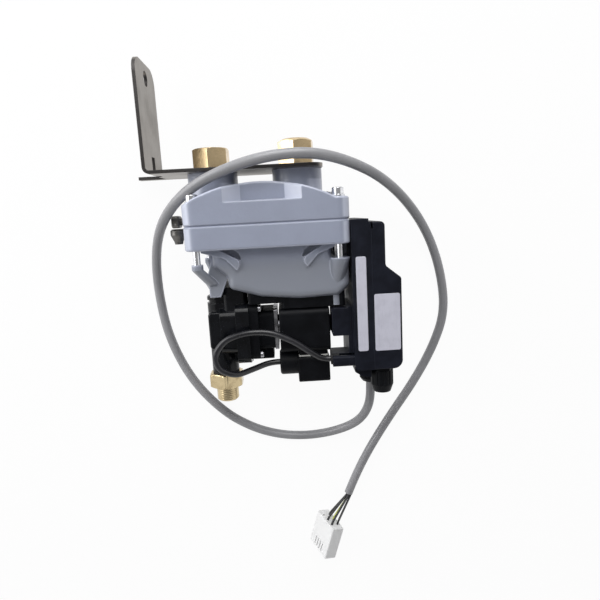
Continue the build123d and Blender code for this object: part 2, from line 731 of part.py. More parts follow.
def bolt_washers():
    """Washers under the corner bolts."""
    return [
        ring_up(x, z, WASHER_R, BOLT_R + HOLE_GAP, COVER_H, COVER_H + WASHER_T)
        for x, z in BOLT_SPOTS
    ]


def vent_eye():
    """Small forged eye screwed into the cover's left side."""
    plate = block_x((EYE_LEFT, EYE_RIGHT), (EYE_Y - EYE_H / 2, EYE_Y + EYE_H / 2),
                    (MID_Z - EYE_D / 2, MID_Z + EYE_D / 2), 3)
    plate = fillet(plate.edges().filter_by(Axis.Z), 1.4)
    neck = lengthways(EYE_Y, MID_Z, EAR_NECK_R, EYE_RIGHT - 1, -HALF_W)
    shank = lengthways(EYE_Y, MID_Z, EAR_SHANK_R, -HALF_W - 1, -HALF_W + EAR_SHANK_L - 1)
    hole = Plane(origin=(EYE_LEFT + 3.2, EYE_Y - 2.4, 0)) * Circle(EYE_HOLE_R)
    return plate + neck + shank - extrude(hole, BODY_D)


def vent_knob():
    """Manual vent screw with its rounded knob, under the eye."""
    profile = [
        (0, KNOB_Y + KNOB_H / 2),
        (KNOB_R - 1.5, KNOB_Y + KNOB_H / 2),
        (KNOB_R, KNOB_Y + KNOB_H / 2 - 1.5),
        (KNOB_R, KNOB_Y + 1.5),
        (KNOB_R - 1.6, KNOB_Y - 2),
        (KNOB_TIP_R + 0.6, KNOB_Y - KNOB_H / 2 + 2.5),
        (KNOB_TIP_R, KNOB_Y - KNOB_H / 2),
        (0, KNOB_Y - KNOB_H / 2),
    ]
    knob = revolve(make_face(Polyline(*profile, close=True)), axis=Axis.Y)
    knob = Pos(KNOB_X, 0, MID_Z) * knob
    neck = lengthways(KNOB_Y, MID_Z, EAR_NECK_R, KNOB_X, -HALF_W)
    shank = lengthways(KNOB_Y, MID_Z, EAR_SHANK_R, -HALF_W - 1, -HALF_W + EAR_SHANK_L - 1)
    return knob + neck + shank


# ---- main valve ---------------------------------------------------------------------
def valve_body(lower_casting):
    """Valve body: outlet barrel, bonnet for the diaphragm and saddle under the bowl."""
    barrel = upright(BARREL_X, MID_Z, BARREL_R, BARREL_BOTTOM, COLUMN_BOTTOM)
    barrel = fillet(barrel.edges().group_by(Axis.Y)[-1], 2.0)
    arm_y = (VALVE_Y - BARREL_R - 9, VALVE_Y + BARREL_R + 9)
    arm = block_x((BARREL_X, JOINT_X - 6), arm_y, (MID_Z - 20, MID_Z + 20), 9)
    bonnet_y = (VALVE_Y - VALVE_COVER_H / 2 - 3, VALVE_Y + VALVE_COVER_H / 2)
    bonnet = block_x((JOINT_X - 12, JOINT_X), bonnet_y, (BODY_BACK, BODY_FRONT), 8)
    panel = block_z(
        (BARREL_X - 11, BARREL_X + 11.5),
        (VALVE_Y - 17, VALVE_Y + 19.4),
        (MID_Z, MID_Z + BARREL_R + 4),
        4,
    )
    panel = fillet(panel.edges().group_by(Axis.Z)[-1], 2.5)
    waist = ring_up(BARREL_X, MID_Z, BARREL_R + 1, BARREL_R - 1.6, COLLAR_BOTTOM, COLLAR_BOTTOM + 3)
    foot = block_x(
        (BARREL_X, JOINT_X), (BARREL_BOTTOM + 8, BARREL_BOTTOM + 18), (MID_Z - 8, MID_Z + 8), 2
    )
    saddle_y = (VALVE_Y + 8, BOWL_BOTTOM + 12)
    saddle = block_y((BARREL_X + 4, JOINT_X - 1), saddle_y, (MID_Z - 17, MID_Z + 17), 5)
    body = barrel - waist + arm + bonnet + panel + foot + saddle
    body -= lower_casting
    body -= upright(BARREL_X, MID_Z, COLUMN_R / 2, VALVE_Y, COLUMN_BOTTOM)
    body -= upright(BARREL_X, MID_Z, THREAD_R + FIT, BARREL_BOTTOM, OUTLET_SOCKET_TOP)
    body -= upright(BARREL_X, MID_Z, COLUMN_R, BARREL_BOTTOM, VALVE_Y)
    body -= lengthways(VALVE_Y, MID_Z, CHAMBER_R, SEAT_X, JOINT_X)
    body -= lengthways(VALVE_Y, MID_Z, SEAT_R - 2.5, BARREL_X, SEAT_X)
    for y, z in valve_screw_spots():
        body -= lengthways(y, z, VALVE_SCREW_R + FIT, JOINT_X - 10, JOINT_X)
    return main_solid(body)


def adapter_block(lower_casting):
    """Black block that fills the room between the bowl's underside and the coil."""
    x = (COIL_LEFT + 3, BOWL_RIGHT - 4.6)
    y = (VALVE_Y + COIL_H / 2 + 0.5, BOWL_BOTTOM + 6)
    z = (BOWL_INSET + 1, BODY_D - BOWL_INSET - 6)
    block = block_y(x, y, z, 3)
    over_valve = (VALVE_Y + VALVE_COVER_H / 2 + 0.5, BOWL_BOTTOM + 8)
    block += block_y((JOINT_X + 0.5, x[0] + 4), over_valve, z, 3)
    block -= upright(BOSS_X, BOSS_Z, BOSS_R + FIT, y[0], y[1])
    return main_solid(block - lower_casting)


def main_solid(shape):
    """Largest solid of a shape, dropping loose chips that a cut leaves behind."""
    return Part(max(shape.solids(), key=lambda s: s.volume).wrapped)


def valve_screw_spots():
    """Axes of the four screws that hold the diaphragm cover."""
    return [
        (VALVE_Y + up * VALVE_SCREW_Y, MID_Z + out * VALVE_SCREW_Z)
        for up in (-1, 1)
        for out in (-1, 1)
    ]


def diaphragm_cover():
    """Cover that clamps the diaphragm and carries the pilot seat."""
    flange_y = (VALVE_Y - VALVE_COVER_H / 2, VALVE_Y + VALVE_COVER_H / 2)
    flange_z = (MID_Z - VALVE_COVER_D / 2, MID_Z + VALVE_COVER_D / 2)
    flange_x = (JOINT_X, JOINT_X + VALVE_COVER_T)
    body = block_x(flange_x, flange_y, flange_z, 7)
    pilot_y = (VALVE_Y - PILOT_H / 2, VALVE_Y + PILOT_H / 2)
    pilot_z = (MID_Z - PILOT_D / 2, MID_Z + PILOT_D / 2)
    body += block_x((JOINT_X + 1, PILOT_RIGHT), pilot_y, pilot_z, 5)
    tongue_y = (pilot_y[0] - 12, pilot_y[0] + 6)
    body += block_x((JOINT_X + 1, PILOT_RIGHT - 2), tongue_y, (MID_Z - 10, MID_Z + 10), 3)
    body -= lengthways(VALVE_Y, MID_Z, DIAPHRAGM_R, JOINT_X, JOINT_X + DIAPHRAGM_T)
    body -= lengthways(VALVE_Y, MID_Z, CHAMBER_R, JOINT_X, CHAMBER_END)
    body -= lengthways(VALVE_Y, MID_Z, 1.0, JOINT_X, PILOT_RIGHT)
    for y, z in valve_screw_spots():
        body -= lengthways(y, z, VALVE_SCREW_R + HOLE_GAP, *flange_x)
    return body


def valve_screws():
    """Pan-head screws of the diaphragm cover."""
    seat = JOINT_X + VALVE_COVER_T
    screws = []
    for y, z in valve_screw_spots():
        head = lengthways(y, z, VALVE_HEAD_R, seat, seat + VALVE_HEAD_H)
        head = fillet(head.edges().group_by(Axis.X)[-1], 1.2)
        screws.append(head + lengthways(y, z, VALVE_SCREW_R, JOINT_X - 9, seat))
    return screws


def diaphragm():
    """Rubber diaphragm clamped in the cover's recess, with a hole for the disc's stem."""
    left, right = JOINT_X, JOINT_X + DIAPHRAGM_T
    return ring_right(VALVE_Y, MID_Z, DIAPHRAGM_R, STEM_R + FIT, left, right)


def closing_disc():
    """Disc that shuts the main seat, with its stem through the diaphragm."""
    right = JOINT_X - DISC_GAP
    disc = lengthways(VALVE_Y, MID_Z, DISC_R, right - DISC_T, right)
    disc = fillet(disc.edges().group_by(Axis.X)[0], 0.8)
    return disc + lengthways(VALVE_Y, MID_Z, STEM_R, right, JOINT_X + DIAPHRAGM_T + DISC_GAP)


def backing_plate():
    """Plate on the disc's stem, behind the diaphragm."""
    left = JOINT_X + DIAPHRAGM_T + DISC_GAP
    return lengthways(VALVE_Y, MID_Z, DISC_R, left, left + BACKING_T)


def closing_spring():
    """Spring that pushes the closing disc onto its seat."""
    left = JOINT_X + DIAPHRAGM_T + DISC_GAP + BACKING_T
    return spring_along_x(VALVE_Y, MID_Z, DISC_R - 2, SPRING_WIRE_R, left, CHAMBER_END, 2)


# ---- solenoid -------------------------------------------------------------------------
def solenoid_plate():
    """Steel plate that holds the armature tube on the pilot."""
    y = (VALVE_Y - PLATE_H / 2, VALVE_Y + PLATE_H / 2)
    z = (MID_Z - PLATE_D / 2, MID_Z + PLATE_D / 2)
    plate = block_x((PILOT_RIGHT, PILOT_RIGHT + PLATE_T), y, z, 2)
    return plate - lengthways(VALVE_Y, MID_Z, TUBE_R + FIT, PILOT_RIGHT, PILOT_RIGHT + PLATE_T)


def armature_tube():
    """Tube that guides the plunger, with a collar against the plate."""
    collar_left = PILOT_RIGHT + PLATE_T
    tube = lengthways(VALVE_Y, MID_Z, TUBE_R, PILOT_RIGHT, CORE_END)
    tube += lengthways(VALVE_Y, MID_Z, COLLAR_R, collar_left, COIL_LEFT)
    tube -= lengthways(VALVE_Y, MID_Z, TUBE_BORE_R, PILOT_RIGHT, CORE_END)
    return tube


def plunger():
    """Armature with its seal nose and the pocket for its spring."""
    right = PLUNGER_START + PLUNGER_L
    body = lengthways(VALVE_Y, MID_Z, TUBE_BORE_R - FIT, PLUNGER_START, right)
    body += lengthways(VALVE_Y, MID_Z, STEM_R, PILOT_RIGHT + DISC_GAP, PLUNGER_START)
    return body - lengthways(VALVE_Y, MID_Z, STEM_R + 0.4, right - POCKET_L, right)


def fixed_core():
    """Fixed iron core at the closed end of the tube."""
    return lengthways(VALVE_Y, MID_Z, TUBE_BORE_R, CORE_START, CORE_END)


def plunger_spring():
    """Spring between plunger and core."""
    left = PLUNGER_START + PLUNGER_L - POCKET_L
    return spring_along_x(VALVE_Y, MID_Z, STEM_R - 0.4, SPRING_WIRE_R, left, CORE_START, 4)


def coil():
    """Moulded coil on the armature tube, with the boss for the plug."""
    y = (VALVE_Y - COIL_H / 2, VALVE_Y + COIL_H / 2)
    body = block_x((COIL_LEFT, COIL_RIGHT), y, (COIL_BACK, COIL_FRONT), 6)
    ends = body.edges().filter_by(lambda e: abs(e.center().X - (COIL_LEFT + COIL_RIGHT) / 2) > 20)
    body = fillet(ends, 1.5)
    boss_z = (PLUG_BACK + 2, PLUG_FRONT - 2)
    boss_y = (PLUG_TOP + GASKET_T, y[0] + 2)
    body += block_y((PLUG_LEFT + 2, PLUG_RIGHT - 2), boss_y, boss_z, 2)
    screw_x = (PLUG_LEFT + PLUG_RIGHT) / 2
    body -= lengthways(VALVE_Y, MID_Z, TUBE_R + FIT, COIL_LEFT, COIL_RIGHT)
    body -= upright(screw_x, PLUG_MID_Z, SMALL_SCREW_R + FIT, boss_y[0], boss_y[0] + 5)
    return body


def coil_nut():
    """Ribbed cap nut that holds the coil on its tube."""
    nut = lengthways(VALVE_Y, MID_Z, NUT_R, COIL_RIGHT, COIL_RIGHT + NUT_L)
    nut = fillet(nut.edges().group_by(Axis.X)[-1], 1.5)
    return nut - lengthways(VALVE_Y, MID_Z, TUBE_R + FIT, COIL_RIGHT, CORE_END)


def plug_gasket():
    """Pale flat gasket between coil and plug."""
    z = (PLUG_BACK + 1, PLUG_FRONT - 1)
    plate = block_y((PLUG_LEFT + 1, PLUG_RIGHT - 1), (PLUG_TOP, PLUG_TOP + GASKET_T), z, 2)
    screw_x = (PLUG_LEFT + PLUG_RIGHT) / 2
    hole = upright(screw_x, PLUG_MID_Z, SMALL_SCREW_R + HOLE_GAP, PLUG_TOP, PLUG_TOP + GASKET_T)
    return plate - hole


def valve_plug():
    """Cable plug under the coil."""
    x, y, z = (PLUG_LEFT, PLUG_RIGHT), (PLUG_BOTTOM, PLUG_TOP), (PLUG_BACK, PLUG_FRONT)
    body = block_x(x, y, z, 3)
    ends = body.edges().filter_by(lambda e: abs(e.center().X - sum(x) / 2) > 14)
    body = fillet(ends, 1.2)
    screw_x = (PLUG_LEFT + PLUG_RIGHT) / 2
    body -= upright(screw_x, PLUG_MID_Z, SMALL_SCREW_R + HOLE_GAP, PLUG_BOTTOM, PLUG_TOP)
    return body


def plug_screw():
    """Screw through the plug into the coil."""
    x = (PLUG_LEFT + PLUG_RIGHT) / 2
    head = upright(x, PLUG_MID_Z, 2.8, PLUG_BOTTOM - 2, PLUG_BOTTOM)
    head = fillet(head.edges().group_by(Axis.Y)[0], 0.8)
    return head + upright(x, PLUG_MID_Z, SMALL_SCREW_R, PLUG_BOTTOM, PLUG_TOP + GASKET_T + 4)


def plug_gland_nut():
    """Gland nut where the lead enters the plug."""
    nut = lengthways(PLUG_NUT_Y, PLUG_MID_Z, PLUG_NUT_R, PLUG_NUT_LEFT, PLUG_LEFT)
    nut = fillet(nut.edges().group_by(Axis.X)[0], 2.5)
    return nut - lengthways(PLUG_NUT_Y, PLUG_MID_Z, LEAD_R + FIT, PLUG_NUT_LEFT, PLUG_LEFT)


# Route of the solenoid lead from the plug, round in front of the valve, to the grommet.
LEAD_ROUTE = [
    (PLUG_LEFT, PLUG_NUT_Y, PLUG_MID_Z),
    (-6, PLUG_NUT_Y, PLUG_MID_Z),
    (-22, -134.5, 67),
    (-37, -136, 79),
    (-51, -128, 84),
    (-54, -114, 84),
    (-44, -101, 84),
    (-24, -95, 84),
    (-2, -96, 84),
    (18, -106, 84),
    (32, -117, 82),
    (ARM_LEFT - 9, LEAD_ENTRY_Y, LEAD_ENTRY_Z),
    (ARM_LEFT + 6, LEAD_ENTRY_Y, LEAD_ENTRY_Z),
]


def cord_radii(points, share):
    """Arc radius at each inner point: a share of its shorter run over the half turn's tangent."""
    radii = []
    for before, here, after in zip(points, points[1:], points[2:]):
        arriving, leaving = Vector(here) - Vector(before), Vector(after) - Vector(here)
        half_turn = math.radians(arriving.get_angle(leaving)) / 2
        radii.append(share * min(arriving.length, leaving.length) / math.tan(half_turn))
    return radii


def cord_tube(points, radius):
    """Tube of straight runs joined by tangent arcs."""
    path = FilletPolyline(*points, radius=cord_radii(points, 0.45))
    tube = sweep(Plane(origin=path @ 0, z_dir=path % 0) * Circle(radius), path=path)
    return tube, path.length


def solenoid_lead():
    """Lead from the plug to the electronics."""
    tube, length = cord_tube(LEAD_ROUTE, LEAD_R)
    report_cord("solenoid lead", LEAD_ROUTE, tube, length, LEAD_R)
    return tube


def report_cord(name, points, tube, length, radius):
    """Prints a cord's length, its tightest arc, and its volume against the ideal one."""
    ideal = math.pi * radius ** 2 * length
    tightest = min(cord_radii(points, 0.45))
    print(f"{name}: {length:.0f} mm, tightest {tightest:.0f} mm, volume {tube.volume / ideal:.4f}")


def lead_grommet():
    """Rubber grommet of the lead in the electronics base."""
    outer = LEAD_R + GROMMET_WALL
    left, right = ARM_LEFT - 1.5, ARM_LEFT + 6
    sleeve = lengthways(LEAD_ENTRY_Y, LEAD_ENTRY_Z, outer, left, right)
    lip = lengthways(LEAD_ENTRY_Y, LEAD_ENTRY_Z, outer + 1, left, ARM_LEFT)
    return sleeve + lip - lengthways(LEAD_ENTRY_Y, LEAD_ENTRY_Z, LEAD_R + FIT, left, right)


# ---- electronics -----------------------------------------------------------------------
def electronics_base():
    """Black base beside the castings, with the post and arm under the bowl."""
    left = HALF_W
    case_z = (CASE_BACK, CASE_FRONT)
    points = [
        (left, CASE_TOP),
        (PARTING_X, CASE_TOP),
        (PARTING_X, CASE_BOTTOM),
        (left + 2, CASE_BOTTOM),
        (left, CASE_BOTTOM + 3),
    ]
    body = front_prism(points, [1, 0, 0, 1, 1], *case_z)
    body -= block_x(
        (left + CASE_WALL, PARTING_X),
        (CASE_BOTTOM + CASE_WALL, CASE_TOP - CASE_WALL - HOOD_DROP),
        (CASE_BACK + CASE_WALL, CASE_FRONT - CASE_WALL),
        3,
    )
    body -= block_z((PARTING_X - 2, PARTING_X), (CASE_TOP - HOOD_DROP, CASE_TOP), case_z, 0)
    post_top = VALVE_Y + COIL_H / 2
    body += block_z((POST_LEFT, left + 1), (ARM_BOTTOM, post_top), (MID_Z - 14, BLOCK_FRONT), 1)
    block_z_range = (BLOCK_BACK, BLOCK_FRONT)
    body += block_z((BLOCK_LEFT, left + 1), (BLOCK_BOTTOM, post_top - 1), block_z_range, 1)
    body += block_x((ARM_LEFT, left + 1), (ARM_BOTTOM, ARM_TOP), (ARM_BACK, ARM_FRONT), 2)
    body += chin()
    for y, z in standoff_spots():
        body += lengthways(y, z, 3.0, left + 1, BOARD_X)
    sleeve = LEAD_R + GROMMET_WALL + FIT
    body -= lengthways(LEAD_ENTRY_Y, LEAD_ENTRY_Z, sleeve, ARM_LEFT, left + CASE_WALL)
    neck_top = CHIN_BOTTOM + GLAND_THREAD_H
    body -= upright(REAR_GLAND_X, REAR_GLAND_Z, GLAND_NECK_R + FIT, CHIN_BOTTOM, neck_top)
    return body


def chin():
    """Stepped chin under the case that the cord gland screws into."""
    right = REAR_GLAND_X + GLAND_R + 1.5
    points = [
        (HALF_W + 2, CASE_BOTTOM + 1),
        (HALF_W + 2, CASE_BOTTOM),
        (HALF_W + 5, CASE_BOTTOM - CHIN_H / 2),
        (REAR_GLAND_X - GLAND_R - 1, CHIN_BOTTOM),
        (right, CHIN_BOTTOM),
        (right, CASE_BOTTOM),
        (PARTING_X, CASE_BOTTOM),
        (PARTING_X, CASE_BOTTOM + 1),
    ]
    chin_body = front_prism(points, [0, 0, 2, 1.5, 3, 0, 0, 0], CHIN_BACK, CHIN_FRONT)
    step = [
        (HALF_W + 0.5, CASE_BOTTOM + 4),
        (HALF_W + 0.5, CASE_BOTTOM - 4),
        (HALF_W + 8, CASE_BOTTOM - 8.5),
        (STEP_RIGHT, CASE_BOTTOM - 10),
        (STEP_RIGHT, CASE_BOTTOM + 0.5),
        (PARTING_X, CASE_BOTTOM + 0.5),
        (PARTING_X, CASE_BOTTOM + 4),
    ]
    step_z = (CHIN_FRONT - 1, BLOCK_FRONT)
    return chin_body + front_prism(step, [0, 1.5, 2, 1.5, 0, 0, 0], *step_z)


def standoff_spots():
    """Posts that carry the circuit board."""
    low, high = CASE_BOTTOM + 14, CASE_TOP - 16
    return [(y, z) for y in (low, high) for z in (CASE_BACK + 12, CASE_FRONT - 12)]


def hood_profile(inset):
    """Outline of the hood seen from the front, set in by a wall."""
    top = CASE_TOP - HOOD_DROP - inset
    bottom = CASE_BOTTOM + inset
    neck, right = HOOD_NECK - inset, HOOD_RIGHT - inset
    points = [
        (PARTING_X, top),
        (neck, top),
        (neck, SHOULDER_TOP - inset / 2),
        (right, SHOULDER_BOTTOM - inset / 2),
        (right, bottom),
        (PARTING_X, bottom),
    ]
    corner = CASE_R - inset
    return points, [0, corner / 2, 4, 3, corner, 0]


def hood():
    """Removable black hood with the button, lamp and gland openings."""
    points, radii = hood_profile(0)
    body = front_prism(points, radii, CASE_BACK, CASE_FRONT)
    rims = body.edges().filter_by(on_hood_rim)
    body = fillet(rims, 1.5)
    points, radii = hood_profile(CASE_WALL)
    body -= front_prism(points, radii, CASE_BACK + CASE_WALL, CASE_FRONT - CASE_WALL)
    slit_y = (CASE_TOP - HOOD_DROP - SLIT_H, CASE_TOP)
    body -= block_z((PARTING_X, PARTING_X + SLIT_W), slit_y, (CASE_BACK, CASE_FRONT), 0)
    body -= lengthways(BUTTON_Y, MID_Z, BUTTON_R + FIT, HOOD_RIGHT - CASE_WALL, HOOD_RIGHT)
    for z in lamp_depths():
        body -= lengthways(LAMP_Y, z, LAMP_R + FIT, HOOD_RIGHT - CASE_WALL, HOOD_RIGHT)
    gland_hole = GLAND_NECK_R + FIT
    body -= upright(FRONT_GLAND_X, FRONT_GLAND_Z, gland_hole, CASE_BOTTOM, CASE_BOTTOM + CASE_WALL)
    return body


def on_hood_rim(edge):
    """Whether an edge runs round the hood's front or back face."""
    middle = edge.center()
    at_face = min(middle.Z - CASE_BACK, CASE_FRONT - middle.Z) < 0.01
    return at_face and middle.X > PARTING_X + 0.1


def lamp_depths():
    """Depths of the two signal lamps."""
    return [MID_Z - LAMP_PITCH / 2, MID_Z + LAMP_PITCH / 2]


def lamp_lenses():
    """Clear lenses of the signal lamps."""
    return [
        lengthways(LAMP_Y, z, LAMP_R, HOOD_RIGHT - CASE_WALL - 2, HOOD_RIGHT + 0.6)
        for z in lamp_depths()
    ]


def circuit_board():
    """Board on its standoffs, with relay, terminals and a row of parts."""
    low, high = CASE_BOTTOM + 8, SHOULDER_BOTTOM + 40
    z = (CASE_BACK + 6, CASE_FRONT - 6)
    right = BOARD_X + BOARD_T
    board = block_x((BOARD_X, right), (low, high), z, 2)
    board += block_x((right, right + 9), (low + 22, low + 40), (z[0] + 8, z[0] + 24), 0.5)
    board += block_x((right, right + 7), (low + 4, low + 14), (z[0] + 6, z[1] - 8), 0.5)
    for step in range(3):
        y = low + 52 + 10 * step
        board += block_x((right, right + 3), (y, y + 6), (z[0] + 10, z[0] + 30), 0.5)
    board += block_x((right, SWITCH_TOP), (BUTTON_Y - 3.5, BUTTON_Y + 3.5), (MID_Z - 3.5, MID_Z + 3.5), 1)
    return board


def test_button():
    """Button with its retaining flange inside the hood."""
    inner = HOOD_RIGHT - CASE_WALL
    back = inner - BUTTON_FLANGE_T
    shaft = lengthways(BUTTON_Y, MID_Z, BUTTON_R, back, BUTTON_FACE)
    shaft = fillet(shaft.edges().group_by(Axis.X)[-1], 0.7)
    return shaft + lengthways(BUTTON_Y, MID_Z, BUTTON_FLANGE_R, back, inner - FIT)


def button_spring():
    """Return spring of the button, on the board's switch."""
    right = HOOD_RIGHT - CASE_WALL - BUTTON_FLANGE_T
    return spring_along_x(BUTTON_Y, MID_Z, 2.6, SPRING_WIRE_R, SWITCH_TOP, right, 2)


# ---- glands ------------------------------------------------------------------------------
def gland_body(x, z, seat, hex_h, nut_thread, bore):
    """Gland body: neck in the case, hexagon under it and the thread of the dome nut."""
    neck = upright(x, z, GLAND_NECK_R, seat, seat + GLAND_THREAD_H)
    hex_end = seat - hex_h
    body = neck + hexagon(x, z, 2 * GLAND_R - 1.5, hex_end, seat, 0)
    body += upright(x, z, GLAND_NECK_R, hex_end - nut_thread, hex_end)
    return body - upright(x, z, bore, hex_end - nut_thread, seat + GLAND_THREAD_H)


def gland_dome(x, z, top, dome_h, nut_thread, bore):
    """Dome nut: fluted barrel that tapers to the cord."""
    low = top - dome_h
    taper = dome_h / 3
    profile = [
        (bore, top),
        (GLAND_R, top),
        (GLAND_R, low + taper),
        (GLAND_R - 2.5, low),
        (bore, low),
    ]
    dome = revolve(make_face(Polyline(*profile, close=True)), axis=Axis.Y)
    dome = Pos(x, 0, z) * dome
    for step in range(FLUTES):
        turn = 2 * math.pi * step / FLUTES
        groove_x = x + (GLAND_R + 0.7) * math.cos(turn)
        groove_z = z + (GLAND_R + 0.7) * math.sin(turn)
        dome -= upright(groove_x, groove_z, 1.3, low + taper + 1, top)
    return dome - upright(x, z, GLAND_NECK_R + FIT, top - nut_thread, top)


def blanking_insert():
    """Rubber insert that closes the unused front gland."""
    low = GLAND_END
    return upright(FRONT_GLAND_X, FRONT_GLAND_Z, CORD_R, low + 0.8, CASE_BOTTOM)


# ---- power cord, wires and plug -----------------------------------------------------------
# Route of the power cord from its gland: down, round the left, over the bracket, round
# the right and out to its plug, lying on the floor except where it climbs over the drain.
CORD_ROUTE = [
    (REAR_GLAND_X, REAR_GLAND_END, REAR_GLAND_Z),
    (REAR_GLAND_X, REAR_GLAND_END - 16, REAR_GLAND_Z),
    (89, -193, 35),
    (82, -208, 26.5),
    (69, -220, 16.5),
    (49, -228.5, 9),
    (24, -232, 5.5),
    (-4, -229, 5),
    (-32, -219, 5),
    (-62, -199, 5),
    (-93, -161, 5),
    (-112, -113, 6),
    (-117, -66, 9),
    (-112, -24, 25),
    (-97, 8, 57),
    (-69, 34, 84),
    (-34, 51, 92),
    (2, 60, 93),
    (38, 61, 92),
    (72, 51, 83),
    (106, 34, 58),
    (136, 10, 32),
    (160, -22, 12),
    (174, -62, 6),
    (178, -104, 5),
    (165, -141, 5),
    (144, -178, 5),
    (119, -213, 5),
    (95, -250, 5),
    (78, -282, 5),
    (69, -303, 5.5),
]


def power_cord():
    """Free cord from the rear gland to the plug's wires."""
    tube, length = cord_tube(CORD_ROUTE, CORD_R)
    report_cord("power cord", CORD_ROUTE, tube, length, CORD_R)
    return tube


def connector_frame():
    """Plane at the plug's wire face: local x across it, local y off its wide side."""
    turn, roll = math.radians(CONNECTOR_TURN), math.radians(CONNECTOR_ROLL)
    away = Vector(-math.sin(turn), -math.cos(turn), 0)
    level = Vector(-math.cos(turn), math.sin(turn), 0)
    across = level * math.cos(roll) - Vector(0, 0, 1) * math.sin(roll)
    x, y = CONNECTOR_FACE
    height = (CONNECTOR_W * math.sin(roll) + CONNECTOR_H * math.cos(roll)) / 2
    return Plane(origin=(x, y, height), x_dir=tuple(across), z_dir=tuple(away))


def connector_shell():
    """Nylon plug shell: contact cavities that end in the floor of an open shroud."""
    frame = connector_frame()
    shell = extrude(frame * RectangleRounded(CONNECTOR_W, CONNECTOR_H, 1.2), CONNECTOR_L)
    room_w, room_h = CONNECTOR_W - 2 * SHROUD_WALL, CONNECTOR_H - 2 * SHROUD_WALL
    mouth = frame.offset(CONNECTOR_L - SHROUD_DEPTH) * RectangleRounded(room_w, room_h, 0.8)
    shell -= extrude(mouth, SHROUD_DEPTH)
    for column, row in CAVITIES:
        spot = Pos(column * CAVITY_PITCH, row * CAVITY_ROW)
        shell -= extrude(frame * spot * Circle(PIN_R + FIT), CONNECTOR_L)
    for slot in range(LATCH_SLOTS):
        across = (slot - (LATCH_SLOTS - 1) / 2) * LATCH_PITCH
        spot = Pos(across, CONNECTOR_H / 2 - SHROUD_WALL)
        start = frame.offset(CONNECTOR_L - SHROUD_DEPTH + 1.5)
        shell -= extrude(start * spot * Rectangle(1.6, 2 * SHROUD_WALL + 1), LATCH_L)
    return shell


def connector_pins():
    """Contact pins in the plug's cavities."""
    frame = connector_frame().offset(PIN_START)
    length = CONNECTOR_L - SHROUD_DEPTH - PIN_START
    return [
        extrude(frame * Pos(column * CAVITY_PITCH, row * CAVITY_ROW) * Circle(PIN_R), length)
        for column, row in CAVITIES
    ]


def core_wire(index):
    """One core from the cut end of the sheath to its cavity."""
    frame = connector_frame()
    column, row = CAVITIES[index]
    inside = frame.from_local_coords((column * CAVITY_PITCH, row * CAVITY_ROW, PIN_START))
    mouth = frame.from_local_coords((column * CAVITY_PITCH, row * CAVITY_ROW, -2.5))
    sheath_end = Vector(*CORD_ROUTE[-1])
    along = (sheath_end - Vector(*CORD_ROUTE[-2])).normalized()
    across = frame.x_dir - along * frame.x_dir.dot(along)
    upward = frame.y_dir - along * frame.y_dir.dot(along)
    spread = across.normalized() * (column * CORE_PITCH) + upward.normalized() * (row * CORE_ROW)
    start = sheath_end + spread + along * 0.05
    lead = start + along * 3
    tube, _ = cord_tube([tuple(start), tuple(lead), tuple(mouth), tuple(inside)], WIRE_R)
    return tube


def node_shapes():
    """Every node of the drain by name."""
    lower = housing()
    front, rear = (FRONT_GLAND_X, FRONT_GLAND_Z), (REAR_GLAND_X, REAR_GLAND_Z)
    front_nut_top, rear_nut_top = CASE_BOTTOM - GLAND_HEX_H, CHIN_BOTTOM - REAR_HEX_H
    return {
        "cover": cover(),
        "housing": lower,
        "housing_seal": housing_seal(),
        "level_sensor": level_sensor(),
        "bracket": bracket(),
        "inlet_plug": inlet_plug(),
        "inlet_adapter": inlet_adapter(),
        "port_seals": port_seals(),
        "cover_bolts": cover_bolts(),
        "bolt_washers": bolt_washers(),
        "vent_eye": vent_eye(),
        "vent_knob": vent_knob(),
        "valve_body": valve_body(lower),
        "adapter_block": adapter_block(lower),
        "diaphragm_cover": diaphragm_cover(),
        "valve_screws": valve_screws(),
        "diaphragm": diaphragm(),
        "closing_disc": closing_disc(),
        "backing_plate": backing_plate(),
        "closing_spring": closing_spring(),
        "outlet_adapter": outlet_adapter(),
        "outlet_seal": outlet_seal(),
        "solenoid_plate": solenoid_plate(),
        "armature_tube": armature_tube(),
        "plunger": plunger(),
        "fixed_core": fixed_core(),
        "plunger_spring": plunger_spring(),
        "coil": coil(),
        "coil_nut": coil_nut(),
        "plug_gasket": plug_gasket(),
        "valve_plug": valve_plug(),
        "plug_screw": plug_screw(),
        "plug_gland_nut": plug_gland_nut(),
        "solenoid_lead": solenoid_lead(),
        "lead_grommet": lead_grommet(),
        "electronics_base": electronics_base(),
        "hood": hood(),
        "lamp_lenses": lamp_lenses(),
        "circuit_board": circuit_board(),
        "test_button": test_button(),
        "button_spring": button_spring(),
        "front_gland": gland_body(*front, CASE_BOTTOM, GLAND_HEX_H, GLAND_THREAD_H, CORD_R),
        "front_gland_nut": gland_dome(*front, front_nut_top, GLAND_DOME_H, GLAND_THREAD_H, CORD_R),
        "blanking_insert": blanking_insert(),
        "cord_gland": gland_body(*rear, CHIN_BOTTOM, REAR_HEX_H, REAR_DOME_H / 2, CORD_R),
        "cord_gland_nut": gland_dome(*rear, rear_nut_top, REAR_DOME_H, REAR_DOME_H / 2, CORD_R),
        "power_cord": power_cord(),
        "core_wires": [core_wire(spot) for spot, core in enumerate(CORES) if core == "black"],
        "earth_wire": core_wire(CORES.index("earth")),
        "connector_shell": connector_shell(),
        "connector_pins": connector_pins(),
    }


os.makedirs("parts", exist_ok=True)
for name, shape in node_shapes().items():
    solids = shape if isinstance(shape, list) else [shape]
    placed = [place(solid) for solid in solids]
    piece = placed[0] if len(placed) == 1 else Compound(children=placed)
    export_step(piece, f"parts/{name}.step")
